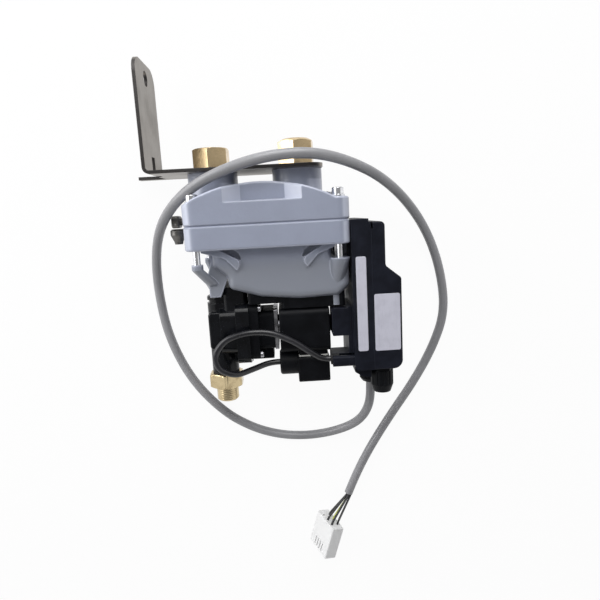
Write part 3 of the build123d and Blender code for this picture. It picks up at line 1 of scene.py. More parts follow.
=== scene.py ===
"""Looks of an automatic condensate drain: the finishes of its solids, and the cord, threads and label plates
that are made here as meshes and curves.

Everything is in metres in the row frame: X to the right, Y up as installed, Z out of the front.
"""

import logging
import math
from collections.abc import Callable
from dataclasses import dataclass
from enum import Enum
from typing import Protocol

import bmesh
import bpy
from mathutils import Matrix, Vector

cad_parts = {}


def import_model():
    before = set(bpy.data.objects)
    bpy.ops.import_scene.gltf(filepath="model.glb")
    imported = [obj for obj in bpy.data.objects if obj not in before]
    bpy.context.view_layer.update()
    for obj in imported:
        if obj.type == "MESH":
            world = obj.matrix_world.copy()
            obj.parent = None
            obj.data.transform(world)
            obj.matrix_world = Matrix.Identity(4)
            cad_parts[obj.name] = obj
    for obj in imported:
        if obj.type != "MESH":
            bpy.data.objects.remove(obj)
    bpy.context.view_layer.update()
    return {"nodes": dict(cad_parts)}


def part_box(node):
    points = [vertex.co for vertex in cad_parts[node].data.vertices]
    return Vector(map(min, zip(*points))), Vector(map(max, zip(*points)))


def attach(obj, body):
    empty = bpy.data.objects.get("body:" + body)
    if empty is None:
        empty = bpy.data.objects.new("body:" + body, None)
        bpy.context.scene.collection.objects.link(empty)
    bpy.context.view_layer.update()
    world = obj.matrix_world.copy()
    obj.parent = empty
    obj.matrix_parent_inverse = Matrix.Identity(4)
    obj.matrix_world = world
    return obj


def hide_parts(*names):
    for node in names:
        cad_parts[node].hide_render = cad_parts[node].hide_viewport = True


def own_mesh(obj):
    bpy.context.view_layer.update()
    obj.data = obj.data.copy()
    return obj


log = logging.getLogger("drain")

Colour = tuple[float, float, float]
Point = tuple[float, float, float]
Pair = tuple[float, float]
Number = "Value | float"

MM = 0.001
ROW_SHIFT = (3.8, 12.8, 0.0)  # millimetres from the casting's datum, its centre and seam, to the row frame
CURVE_FOOT, CURVE_SLOPE, CURVE_LIFT, CURVE_POWER = 0.04045, 12.92, 0.055, 2.4  # of a display's levels
NOISE_ROUGHNESS = 0.55
BEVEL_SAMPLES = 6
EDGE_FROM, EDGE_FULL = 0.02, 0.22  # how far a rounded normal leans where an edge starts and is full
SPLINE_ORDER, SPLINE_STEPS, TUBE_FACETS = 3, 10, 6
MIX_FIRST, MIX_SECOND, MIX_COLOUR = 6, 7, 2  # colour sockets of the Mix node, by number


def on_row(x: float, y: float, z: float) -> Vector:
    """Row-frame point, in metres, of a point on the casting's datum, in millimetres."""
    return Vector(((x + ROW_SHIFT[0]) * MM, (y + ROW_SHIFT[1]) * MM, (z + ROW_SHIFT[2]) * MM))


def linear(level: int) -> float:
    """Linear share of one eight-bit display level."""
    share, full = level / 255, 1 + CURVE_LIFT
    return share / CURVE_SLOPE if share <= CURVE_FOOT else ((share + CURVE_LIFT) / full) ** CURVE_POWER


def shade(red: int, green: int, blue: int) -> Colour:
    """Linear colour of three eight-bit display levels."""
    return linear(red), linear(green), linear(blue)


# ---- shader expressions ----


class Value:
    """A node's output that Python arithmetic works on."""

    def __init__(self, graph: "Graph", socket: bpy.types.NodeSocket) -> None:
        """Wraps a socket of a graph's node."""
        self.graph = graph
        self.socket = socket

    def maths(self, operation: str, first: Number, second: Number) -> "Value":
        """Adds one Math node.

        Args:
            operation: the Math node's operation.
            first: its first input.
            second: its second input.

        Returns:
            The node's result.
        """
        return self.graph.node("ShaderNodeMath", {"operation": operation}, {0: first, 1: second})

    def __add__(self, other: Number) -> "Value":
        """Sum."""
        return self.maths("ADD", self, other)

    def __radd__(self, other: float) -> "Value":
        """Sum with a number on the left."""
        return self.maths("ADD", other, self)

    def __sub__(self, other: Number) -> "Value":
        """Difference."""
        return self.maths("SUBTRACT", self, other)

    def __rsub__(self, other: float) -> "Value":
        """Difference with a number on the left."""
        return self.maths("SUBTRACT", other, self)

    def __mul__(self, other: Number) -> "Value":
        """Product."""
        return self.maths("MULTIPLY", self, other)

    def __rmul__(self, other: float) -> "Value":
        """Product with a number on the left."""
        return self.maths("MULTIPLY", other, self)

    def __pow__(self, other: float) -> "Value":
        """Power."""
        return self.maths("POWER", self, other)

    def between(self, low: float, high: float) -> "Value":
        """Smooth share of this value between two levels, held at its ends.

        Args:
            low: where the share is 0.
            high: where it is 1.

        Returns:
            The share.
        """
        return self.graph.node(
            "ShaderNodeMapRange",
            {"interpolation_type": "SMOOTHSTEP", "clamp": True},
            {"Value": self, "From Min": low, "From Max": high, "To Min": 0.0, "To Max": 1.0},
        )

    def spread(self, low: float, high: float) -> "Value":
        """This share of 0 to 1, laid out from low to high."""
        return self * (high - low) + low


class Graph:
    """A material's node tree, written as expressions."""

    def __init__(self, name: str) -> None:
        """Starts a material with an empty tree.

        Args:
            name: the material's name.
        """
        self.material = bpy.data.materials.new(name)
        self.material.use_nodes = True
        self.tree = self.material.node_tree
        self.tree.nodes.clear()

    def add(self, kind: str, settings: dict[str, object], inputs: dict[str | int, object]) -> bpy.types.Node:
        """Adds any node.

        Args:
            kind: the node's type name.
            settings: its properties, set first.
            inputs: the value or link of each named or numbered socket.

        Returns:
            The node.
        """
        made = self.tree.nodes.new(kind)
        for name, setting in settings.items():
            setattr(made, name, setting)
        for name, given in inputs.items():
            if isinstance(given, Value):
                self.tree.links.new(given.socket, made.inputs[name])
            elif isinstance(given, tuple) and made.inputs[name].type == "RGBA":
                made.inputs[name].default_value = (*given, 1.0)
            else:
                made.inputs[name].default_value = given
        return made

    def node(
        self,
        kind: str,
        settings: dict[str, object] | None = None,
        inputs: dict[str | int, object] | None = None,
        output: str | int = 0,
    ) -> Value:
        """Adds any node and takes one of its outputs.

        Args:
            kind: the node's type name.
            settings: its properties.
            inputs: the value or link of each named or numbered socket.
            output: the socket to return.

        Returns:
            The chosen output.
        """
        return Value(self, self.add(kind, settings or {}, inputs or {}).outputs[output])

    def place(self) -> Value:
        """Coordinates on the piece, in metres."""
        return self.node("ShaderNodeTexCoord", output="Object")

    def stretched(self, factors: Point) -> Value:
        """Coordinates on the piece, each axis times its own factor."""
        return self.node("ShaderNodeVectorMath", {"operation": "MULTIPLY"}, {0: self.place(), 1: factors})

    def noise(self, scale: float, detail: float, factors: Point = (1.0, 1.0, 1.0)) -> Value:
        """Noise on the piece.

        Args:
            scale: patches per metre.
            detail: octaves of finer noise in them.
            factors: how much each axis is squeezed.

        Returns:
            Its level, from 0 to 1.
        """
        inputs = {"Vector": self.stretched(factors), "Scale": scale, "Detail": detail}
        return self.node("ShaderNodeTexNoise", {}, inputs | {"Roughness": NOISE_ROUGHNESS}, "Fac")

    def direction(self, axis: str, output: str = "Normal") -> Value:
        """Share of the piece's normal along one axis."""
        normal = self.node("ShaderNodeNewGeometry", output=output)
        return self.node("ShaderNodeSeparateXYZ", {}, {0: normal}, axis)

    def height(self) -> Value:
        """Height on the piece, in metres."""
        return self.node("ShaderNodeSeparateXYZ", {}, {0: self.place()}, "Y")

    def mix(self, share: Number, first: "Value | Colour", second: "Value | Colour") -> Value:
        """Colour that goes from first to second by share."""
        inputs = {"Factor": share, MIX_FIRST: first, MIX_SECOND: second}
        return self.node("ShaderNodeMix", {"data_type": "RGBA", "clamp_factor": True}, inputs, MIX_COLOUR)

    def soft_normal(self, radius: float) -> Value:
        """Normal of the piece with its edges rounded to radius."""
        return self.node("ShaderNodeBevel", {"samples": BEVEL_SAMPLES}, {"Radius": radius}, "Normal")

    def edges(self, radius: float) -> Value:
        """Finds the piece's edges.

        Args:
            radius: how wide they are, in metres.

        Returns:
            Share that is 1 along them.
        """
        flat = self.node("ShaderNodeNewGeometry", output="True Normal")
        together = self.node(
            "ShaderNodeVectorMath",
            {"operation": "DOT_PRODUCT"},
            {0: self.soft_normal(radius), 1: flat},
            "Value",
        )
        return (1.0 - together).between(EDGE_FROM, EDGE_FULL)

    def bump(self, height: Value, depth: float, normal: Value | None = None, strength: float = 1.0) -> Value:
        """Bends a normal by a relief.

        Args:
            height: the relief, from 0 to 1.
            depth: how deep it is, in metres.
            normal: the normal to bend, or None for the piece's own.
            strength: how much of the relief shows, from 0 to 1.

        Returns:
            The bent normal.
        """
        inputs: dict[str | int, object] = {"Height": height, "Distance": depth, "Strength": strength}
        if normal is not None:
            inputs["Normal"] = normal
        return self.node("ShaderNodeBump", {}, inputs, "Normal")

    def surface(self, **sockets: object) -> bpy.types.Material:
        """Ends the tree in a Principled shader.

        Args:
            sockets: its inputs, with _ for a space in a name.

        Returns:
            The finished material.
        """
        inputs = {name.replace("_", " "): given for name, given in sockets.items()}
        shader = self.node("ShaderNodeBsdfPrincipled", {}, inputs)
        self.close(shader)
        return self.material

    def close(self, shader: Value) -> None:
        """Links a shader to the material's output."""
        self.add("ShaderNodeOutputMaterial", {}, {"Surface": shader})


# ---- finishes ----


class Axis(Enum):
    """Axis that a tool or brush followed."""

    X = (1.0, 0.0, 0.0)
    Y = (0.0, 1.0, 0.0)
    Z = (0.0, 0.0, 1.0)

    def along(self, slow: float, fast: float) -> Point:
        """Noise factors that are slow along the axis and fast across it."""
        x, y, z = (slow if share else fast for share in self.value)
        return x, y, z

    def across(self, slow: float, fast: float) -> Point:
        """Noise factors that are fast along the axis and slow across it."""
        return self.along(fast, slow)


@dataclass(frozen=True)
class Patches:
    """Noise cut to patches with soft edges, such as dulled areas, specks or dust.

    Attributes:
        scale: patches per metre.
        detail: octaves of finer noise in them.
        low: noise level where a patch starts.
        high: noise level where it is full.
    """

    scale: float
    detail: float
    low: float
    high: float

    def share(self, graph: Graph) -> Value:
        """Share that is 1 in the patches."""
        return graph.noise(self.scale, self.detail).between(self.low, self.high)


class Finish(Protocol):
    """What the palette asks of a finish."""

    @property
    def name(self) -> str:
        """The material's name."""

    def material(self) -> bpy.types.Material:
        """Builds the material."""


@dataclass(frozen=True)
class CastLacquer:
    """Sprayed lacquer on a pressure die casting.

    Attributes:
        name: the material's name.
        colour: the lacquer where it is thick.
        edge_highlight: painted highlight, a paler colour on edges and rolled edges where light catches them.
        grime: its colour where it has dulled.
        bowl_shade: painted shade, a darker, greyer colour on the lower casting under the rims.
        edge: how wide the rounded edges are, in metres.
        rims: lowest and highest point of the two rims and the crown, in metres.
        seam: height of the seam between them.
        fade: how far in from their ends the rolled edges set in, in metres.
        bowl_shade_fade: how far under the rims the painted shade sets in, in metres.
        seam_gap: squares of the distances from the seam where rolled edges start and are full.
        clouds: its dulled areas.
        specks: its specks of grime.
    """

    name: str
    colour: Colour
    edge_highlight: Colour
    grime: Colour
    bowl_shade: Colour
    edge: float = 0.0014
    rims: Pair = (-0.012, 0.05)
    seam: float = 0.0128
    fade: float = 0.002
    bowl_shade_fade: float = 0.016
    seam_gap: Pair = (0.0000026, 0.0000050)
    clouds: Patches = Patches(38.0, 4.0, 0.35, 0.7)
    specks: Patches = Patches(900.0, 2.0, 0.66, 0.74)

    def rolled(self, graph: Graph) -> Value:
        """Finds the rolled edges between the front and the sides of the rims, where a highlight is painted.

        Args:
            graph: the material's tree.

        Returns:
            Share that is 1 on them.
        """
        forward, height = graph.direction("Z"), graph.height()
        low, high = self.rims
        on_rims = height.between(low, low + self.fade) * (1.0 - height.between(high - self.fade, high))
        on_rims = on_rims * ((height - self.seam) ** 2.0).between(*self.seam_gap)
        return forward.between(0.15, 0.45) * (1.0 - forward.between(0.86, 0.97)) * on_rims

    def material(self) -> bpy.types.Material:
        """Builds the material.

        Returns:
            The lacquer.
        """
        graph = Graph(self.name)
        clouds, specks = self.clouds.share(graph), self.specks.share(graph)
        rim = graph.edges(self.edge * 2.2)
        # painted shade: below the rims the lacquer is mixed towards a darker, greyer colour
        above = graph.height().between(self.rims[0] - self.bowl_shade_fade, self.rims[0])
        colour = graph.mix(above, self.bowl_shade, self.colour)
        colour = graph.mix(clouds * 0.2, colour, self.grime)
        colour = graph.mix(specks * 0.25, colour, self.grime)
        # painted highlight: edges and rolled edges are mixed towards a paler colour
        colour = graph.mix(rim * 0.7, colour, self.edge_highlight)
        colour = graph.mix(self.rolled(graph) * 0.6, colour, self.edge_highlight)
        skin = graph.noise(scale=420.0, detail=4.0) * 0.7 + graph.noise(scale=1700.0, detail=2.0) * 0.3
        waves = graph.noise(scale=60.0, detail=2.0)
        normal = graph.soft_normal(self.edge)
        normal = graph.bump(waves, depth=0.0009, normal=normal, strength=0.35)
        normal = graph.bump(skin, depth=0.00022, normal=normal, strength=0.7)
        return graph.surface(
            Base_Color=colour,
            Roughness=(clouds * 0.5 + specks * 0.5).spread(0.3, 0.44),
            Coat_Weight=0.3,
            Coat_Roughness=0.16,
            Normal=normal,
        )


@dataclass(frozen=True)
class TurnedMetal:
    """Metal turned or milled, with fine tool marks and a little tarnish.

    Attributes:
        name: the material's name.
        colour: the clean metal.
        tarnish: its colour where it has dulled.
        axis: the axis that it was turned about.
        roughness: from its brightest to its dullest.
        marks: how deep the tool marks are, in metres.
        edge: radius of its edges, in metres.
        clouds: its dulled areas.
    """

    name: str
    colour: Colour
    tarnish: Colour
    axis: Axis = Axis.Y
    roughness: Pair = (0.2, 0.4)
    marks: float = 0.00002
    edge: float = 0.0005
    clouds: Patches = Patches(160.0, 4.0, 0.4, 0.72)

    def material(self) -> bpy.types.Material:
        """Builds the material.

        Returns:
            The metal.
        """
        graph = Graph(self.name)
        clouds = self.clouds.share(graph)
        marks = graph.noise(scale=1.0, detail=2.0, factors=self.axis.across(slow=140.0, fast=5200.0))
        rim = graph.edges(self.edge)
        colour = graph.mix(clouds * 0.6, self.colour, self.tarnish)
        colour = graph.mix(marks.between(0.35, 0.65) * 0.18, colour, self.tarnish)
        colour = graph.mix(rim * 0.5, colour, self.colour)
        normal = graph.bump(marks, self.marks, graph.soft_normal(self.edge), strength=0.6)
        return graph.surface(
            Base_Color=colour,
            Metallic=1.0,
            Roughness=(clouds * 0.6 + marks * 0.4).spread(*self.roughness),
            Normal=normal,
        )


@dataclass(frozen=True)
class BrushedSheet:
    """Folded stainless sheet with a brushed face and darker sheared edges.

    Attributes:
        name: the material's name.
        colour: the brushed face.
        streak: its darker streaks.
        edge: its sheared edges.
        grain: the axis that the grain runs along.
        rounding: radius of its edges, in metres.
        clouds: its dulled areas.
    """

    name: str
    colour: Colour
    streak: Colour
    edge: Colour
    grain: Axis = Axis.Y
    rounding: float = 0.0006
    clouds: Patches = Patches(26.0, 3.0, 0.35, 0.7)

    @staticmethod
    def sheared(graph: Graph) -> Value:
        """Share that is 1 on the sheared edges, which face forward or back."""
        tilt = graph.direction("Z", "True Normal")
        return (tilt * tilt).between(0.3, 0.6)

    def material(self) -> bpy.types.Material:
        """Builds the material.

        Returns:
            The sheet.
        """
        graph = Graph(self.name)
        lines = graph.noise(scale=1.0, detail=3.0, factors=self.grain.along(slow=60.0, fast=3600.0))
        clouds = self.clouds.share(graph)
        rim = graph.edges(self.rounding)
        colour = graph.mix(lines.between(0.3, 0.7) * 0.4, self.colour, self.streak)
        colour = graph.mix(clouds * 0.3, colour, self.streak)
        colour = graph.mix(rim * 0.35, colour, self.streak)
        colour = graph.mix(self.sheared(graph) * 0.85, colour, self.edge)
        normal = graph.bump(lines, depth=0.00002, normal=graph.soft_normal(self.rounding), strength=0.5)
        return graph.surface(
            Base_Color=colour,
            Metallic=1.0,
            Roughness=(lines * 0.5 + clouds * 0.5).spread(0.3, 0.5),
            Normal=normal,
        )


@dataclass(frozen=True)
class Moulding:
    """Injection-moulded plastic or rubber.

    Attributes:
        name: the material's name.
        colour: the plastic.
        scuffed: its colour along handled edges.
        roughness: from its smoothest to its dullest.
        grain: size of its surface grain, in metres.
        depth: depth of the grain, in metres.
        edge: radius of its edges, in metres.
        sheen: clear gloss on top, from 0 to 1.
        depth_glow: how much light travels through the skin, from 0 to 1.
        gloss: level of the plain reflection.
        clouds: its dulled areas.
        dust: its specks of dust.
    """

    name: str
    colour: Colour
    scuffed: Colour
    roughness: Pair = (0.35, 0.5)
    grain: float = 0.0005
    depth: float = 0.00003
    edge: float = 0.0006
    sheen: float = 0.0
    depth_glow: float = 0.0
    gloss: float = 0.25
    clouds: Patches = Patches(70.0, 4.0, 0.35, 0.7)
    dust: Patches = Patches(1400.0, 1.0, 0.7, 0.76)

    def material(self) -> bpy.types.Material:
        """Builds the material.

        Returns:
            The plastic or rubber.
        """
        graph = Graph(self.name)
        grain = graph.noise(1.0 / self.grain, detail=2.0)
        clouds, dust = self.clouds.share(graph), self.dust.share(graph)
        rim = graph.edges(self.edge)
        colour = graph.mix(clouds * 0.25 + dust * 0.2, self.colour, self.scuffed)
        colour = graph.mix(rim * 0.6, colour, self.scuffed)
        normal = graph.bump(grain, self.depth, graph.soft_normal(self.edge), strength=0.8)
        return graph.surface(
            Base_Color=colour,
            Roughness=(clouds * 0.5 + grain * 0.5).spread(*self.roughness),
            Specular_IOR_Level=self.gloss,
            Coat_Weight=self.sheen,
            Coat_Roughness=0.12,
            Subsurface_Weight=self.depth_glow,
            Subsurface_Radius=(0.004, 0.004, 0.004),
            Normal=normal,
        )


@dataclass(frozen=True)
class Sheath:
    """Extruded cord sheath, slightly wavy where the cores press through.

    Attributes:
        name: the material's name.
        colour: the sheath.
        rubbed: its colour where it has picked up dust.
        roughness: from its smoothest to its dullest.
        dust: its dusty areas.
    """

    name: str
    colour: Colour
    rubbed: Colour
    roughness: Pair
    dust: Patches = Patches(34.0, 4.0, 0.4, 0.75)

    def material(self) -> bpy.types.Material:
        """Builds the material.

        Returns:
            The sheath.
        """
        graph = Graph(self.name)
        waves = graph.noise(scale=90.0, detail=2.0)
        skin = graph.noise(scale=1500.0, detail=2.0)
        dust = self.dust.share(graph)
        colour = graph.mix(dust * 0.5, self.colour, self.rubbed)
        normal = graph.bump(waves, depth=0.0006, strength=0.2)
        normal = graph.bump(skin, depth=0.00002, normal=normal, strength=0.4)
        return graph.surface(
            Base_Color=colour,
            Roughness=(dust * 0.6 + skin * 0.4).spread(*self.roughness),
            Normal=normal,
        )


@dataclass(frozen=True)
class StripedCore:
    """Wire insulation with a second colour along it.

    Attributes:
        name: the material's name.
        ground: the insulation.
        stripe: the stripe along it.
    """

    name: str
    ground: Colour
    stripe: Colour

    def material(self) -> bpy.types.Material:
        """Builds the material.

        Returns:
            The insulation.
        """
        graph = Graph(self.name)
        tilt = graph.direction("X")
        wander = graph.noise(scale=60.0, detail=1.0) - 0.5
        share = (tilt + wander * 0.8).between(-0.05, 0.05)
        skin = graph.noise(scale=1800.0, detail=2.0)
        return graph.surface(
            Base_Color=graph.mix(share, self.ground, self.stripe),
            Roughness=skin.spread(0.35, 0.5),
            Normal=graph.bump(skin, depth=0.00003, strength=0.5),
        )


@dataclass(frozen=True)
class LensGlass:
    """Clear moulded lamp lens.

    Attributes:
        name: the material's name.
        colour: its tint.
    """

    name: str
    colour: Colour

    def material(self) -> bpy.types.Material:
        """Builds the material.

        Returns:
            The lens.
        """
        graph = Graph(self.name)
        ripple = graph.noise(scale=900.0, detail=1.0)
        return graph.surface(
            Base_Color=self.colour,
            Roughness=ripple.spread(0.06, 0.16),
            Transmission_Weight=0.6,
            IOR=1.49,
            Normal=graph.bump(ripple, depth=0.00004, strength=0.4),
        )


@dataclass(frozen=True)
class LabelFilm:
    """Metallised label film, bare, a little dull and scratched.

    Attributes:
        name: the material's name.
        colour: the film.
        worn: its colour where it is rubbed.
        edge: radius of its edges, in metres.
        clouds: its dulled areas.
    """

    name: str
    colour: Colour
    worn: Colour
    edge: float = 0.0002
    clouds: Patches = Patches(120.0, 4.0, 0.4, 0.7)

    def material(self) -> bpy.types.Material:
        """Builds the material.

        Returns:
            The film.
        """
        graph = Graph(self.name)
        lines = graph.noise(scale=1.0, detail=3.0, factors=Axis.Y.along(slow=90.0, fast=1500.0))
        streaks = lines.between(0.45, 0.75)
        clouds = self.clouds.share(graph)
        colour = graph.mix(clouds * 0.4 + streaks * 0.3, self.colour, self.worn)
        return graph.surface(
            Base_Color=colour,
            Metallic=0.1,
            Roughness=(clouds * 0.6 + streaks * 0.4).spread(0.3, 0.48),
            Normal=graph.bump(clouds, depth=0.00004, normal=graph.soft_normal(self.edge), strength=0.4),
        )


LACQUER = CastLacquer(
    "cast_lacquer",
    colour=shade(150, 156, 174),
    # painted highlight colour of the edges and rolled edges
    edge_highlight=shade(206, 211, 227),
    grime=shade(130, 135, 150),
    # painted shade on the lower casting under the rims
    bowl_shade=shade(136, 140, 150),
)
BRACKET_SHEET = BrushedSheet(
    "bracket_sheet", colour=shade(142, 136, 129), streak=shade(98, 94, 90), edge=shade(66, 65, 66)
)
BRASS = TurnedMetal(
    "turned_brass", shade(228, 204, 162), shade(190, 166, 126), roughness=(0.16, 0.3), marks=0.000008
)
PALE_BRASS = TurnedMetal(
    "pale_brass", shade(208, 190, 152), shade(168, 150, 116), roughness=(0.16, 0.3), marks=0.000004
)
ZINC = TurnedMetal("zinc_plate", shade(240, 241, 244), shade(196, 197, 202), roughness=(0.16, 0.3))
DARK_STEEL = TurnedMetal("dark_steel", shade(120, 118, 115), shade(76, 76, 75), roughness=(0.3, 0.5))
VALVE_ZINC = TurnedMetal("valve_screw_zinc", shade(176, 176, 180), shade(110, 110, 114), Axis.X, (0.22, 0.4))
IRON = TurnedMetal("ground_iron", shade(150, 150, 154), shade(100, 100, 104), Axis.X, (0.18, 0.32))
SPRING = TurnedMetal("spring_wire", shade(180, 180, 184), shade(120, 120, 124), Axis.X, (0.2, 0.3))
VALVE_BLACK = Moulding(
    "valve_black", shade(10, 11, 14), shade(36, 38, 44), (0.14, 0.26),
    grain=0.0016, depth=0.00004, edge=0.0007, sheen=0.08, gloss=0.18,
)
COIL_BLACK = Moulding(
    "coil_black", shade(12, 13, 16), shade(32, 34, 39), (0.36, 0.52), grain=0.0006, depth=0.00004, gloss=0.1
)
CASE_BLACK = Moulding(
    "case_black", shade(20, 22, 30), shade(44, 47, 60), (0.4, 0.56), depth=0.00005, edge=0.0008, gloss=0.12
)
COVER_BLACK = Moulding(
    "cover_black", shade(12, 13, 16), shade(30, 32, 37), (0.52, 0.66), grain=0.0008, gloss=0.08
)
RUBBER = Moulding("black_rubber", shade(30, 30, 31), shade(58, 58, 60), roughness=(0.6, 0.8), grain=0.0004)
PALE_SEAL = Moulding("pale_seal", shade(196, 196, 192), shade(226, 226, 222), roughness=(0.5, 0.66))
BOARD = Moulding(
    "circuit_board", shade(28, 92, 48), shade(70, 140, 84), roughness=(0.3, 0.45), grain=0.002, depth=0.00005
)
BUTTON = Moulding("button_grey", shade(112, 115, 120), shade(158, 160, 166), roughness=(0.36, 0.5))
NYLON = Moulding(
    "natural_nylon", shade(240, 240, 240), shade(248, 248, 248), (0.28, 0.42),
    grain=0.0012, edge=0.0004, depth_glow=0.25,
)
CORD_GREY = Sheath("cord_grey", shade(148, 148, 151), shade(132, 132, 135), roughness=(0.24, 0.36))
LEAD_BLACK = Sheath("lead_black", shade(22, 22, 26), shade(48, 48, 54), roughness=(0.24, 0.38))
CORE_BLACK = Sheath("core_black", shade(26, 26, 28), shade(52, 52, 56), roughness=(0.35, 0.5))
CORE_EARTH = StripedCore("core_earth", ground=shade(216, 222, 112), stripe=shade(112, 156, 66))
LENS = LensGlass("lamp_lens", shade(226, 236, 226))
PLATE = LabelFilm("label_film", shade(206, 206, 219), worn=shade(186, 186, 199))

NODE_FINISHES: dict[str, Finish] = {
    "cover": LACQUER,
    "housing": LACQUER,
    "housing_seal": RUBBER,
    "level_sensor": NYLON,
    "bracket": BRACKET_SHEET,
    "inlet_plug": BRASS,
    "inlet_adapter": BRASS,
    "port_seals": RUBBER,
    "cover_bolts": ZINC,
    "bolt_washers": ZINC,
    "vent_eye": DARK_STEEL,
    "vent_knob": DARK_STEEL,
    "adapter_block": COIL_BLACK,
    "valve_body": VALVE_BLACK,
    "diaphragm_cover": COVER_BLACK,
    "valve_screws": VALVE_ZINC,
    "diaphragm": RUBBER,
    "closing_disc": RUBBER,
    "backing_plate": BRASS,
    "closing_spring": SPRING,
    "outlet_adapter": BRASS,
    "outlet_seal": RUBBER,
    "solenoid_plate": VALVE_ZINC,
    "armature_tube": IRON,
    "plunger": IRON,
    "fixed_core": IRON,
    "plunger_spring": SPRING,
    "coil": COIL_BLACK,
    "coil_nut": COIL_BLACK,
    "plug_gasket": PALE_SEAL,
    "valve_plug": COIL_BLACK,
    "plug_screw": VALVE_ZINC,
    "plug_gland_nut": COIL_BLACK,
    "solenoid_lead": LEAD_BLACK,
    "lead_grommet": RUBBER,
    "electronics_base": CASE_BLACK,
    "hood": CASE_BLACK,
    "lamp_lenses": LENS,
    "circuit_board": BOARD,
    "test_button": BUTTON,
    "button_spring": SPRING,
    "front_gland": COIL_BLACK,
    "front_gland_nut": COIL_BLACK,
    "blanking_insert": RUBBER,
    "cord_gland": COIL_BLACK,
    "cord_gland_nut": COIL_BLACK,
    "power_cord": CORD_GREY,
    "core_wires": CORE_BLACK,
    "earth_wire": CORE_EARTH,
    "connector_shell": NYLON,
    "connector_pins": BRASS,
}


class Palette:
    """Materials of the finishes, each built once."""

    def __init__(self) -> None:
        """Starts with no materials."""
        self.built: dict[str, bpy.types.Material] = {}

    def of(self, finish: Finish) -> bpy.types.Material:
        """Finds the material of a finish, and builds it at its first use.

        Args:
            finish: the finish.

        Returns:
            Its material.
        """
        if finish.name not in self.built:
            self.built[finish.name] = finish.material()
        return self.built[finish.name]

    def dress(self, piece: bpy.types.Object, finish: Finish) -> None:
        """Gives a piece one material in every slot."""
        piece.data.materials.clear()
        piece.data.materials.append(self.of(finish))


# ---- mesh making ----


def enter(name: str, data: bpy.types.ID) -> bpy.types.Object:
    """Puts an object into the scene.

    Args:
        name: its name.
        data: its mesh, curve, lamp or camera.

    Returns:
        The object.
    """
    made = bpy.data.objects.new(name, data)
    bpy.context.scene.collection.objects.link(made)
    return made


def mesh_piece(name: str, shape: bmesh.types.BMesh) -> bpy.types.Object:
    """Turns a bmesh into an object in the scene.

    Args:
        name: the piece's name.
        shape: its mesh, in row-frame metres; it is freed.

    Returns:
        The object.
    """
    bmesh.ops.recalc_face_normals(shape, faces=shape.faces)
    data = bpy.data.meshes.new(name)
    shape.to_mesh(data)
    shape.free()
    return enter(name, data)


def smooth_by_angle(piece: bpy.types.Object, degrees: float = 30.0) -> None:
    """Shades a mesh smooth except across sharp edges.

    Args:
        piece: the piece.
        degrees: the angle from which an edge is sharp.
    """
    limit = math.radians(degrees)
    data = piece.data
    for face in data.polygons:
        face.use_smooth = True
    shape = bmesh.new()
    shape.from_mesh(data)
    for edge in shape.edges:
        edge.smooth = len(edge.link_faces) == 2 and edge.calc_face_angle(0.0) < limit
    shape.to_mesh(data)
    shape.free()


Ring = list[bmesh.types.BMVert]


def bridge(shape: bmesh.types.BMesh, ring: Ring, following: Ring) -> None:
    """Joins two rings of equally many points with quads.

    Args:
        shape: the mesh that they are in.
        ring: the first ring.
        following: the next ring.
    """
    for index in range(len(ring)):
        after = (index + 1) % len(ring)
        shape.faces.new((ring[index], ring[after], following[after], following[index]))


Radius = Callable[[float], float]
Row = tuple[float, Radius | float]


@dataclass
class TurnedPiece:
    """Closed piece about an axis along Y, whose radius may change round it.

    Attributes:
        centre: point on the axis at height 0.
        rows: height and radius of each ring, in metres; a radius may depend on the angle.
        sides: points on each ring.
    """

    centre: Vector
    rows: list[Row]
    sides: int = 120

    def build(self, name: str) -> bpy.types.Object:
        """Builds the piece as one closed ring of quads.

        Args:
            name: the piece's name.

        Returns:
            The object.
        """
        shape = bmesh.new()
        rings = []
        for height, radius in self.rows:
            ring = []
            for index in range(self.sides):
                angle = 2 * math.pi * index / self.sides
                reach = radius(angle) if callable(radius) else radius
                spot = self.centre + Vector((reach * math.cos(angle), height, reach * math.sin(angle)))
                ring.append(shape.verts.new(spot))
            rings.append(ring)
        for ring, following in zip(rings, rings[1:] + rings[:1], strict=True):
            bridge(shape, ring, following)
        return mesh_piece(name, shape)


def hexagon_radius(across_flats: float) -> Radius:
    """Outline of a hexagon, with a corner to the front.

    Args:
        across_flats: its size, in metres.

    Returns:
        Its radius at each angle.
    """

    def radius(angle: float) -> float:
        """Radius at one angle."""
        turned = (angle + math.pi / 2) % (math.pi / 3) - math.pi / 6
        return across_flats / 2 / math.cos(turned)

    return radius


def trimmed(radius: Radius, limit: float) -> Radius:
    """A radius that never passes a limit, as a chamfer trims corners."""
    return lambda angle: min(radius(angle), limit)


# ---- sub-assemblies ----


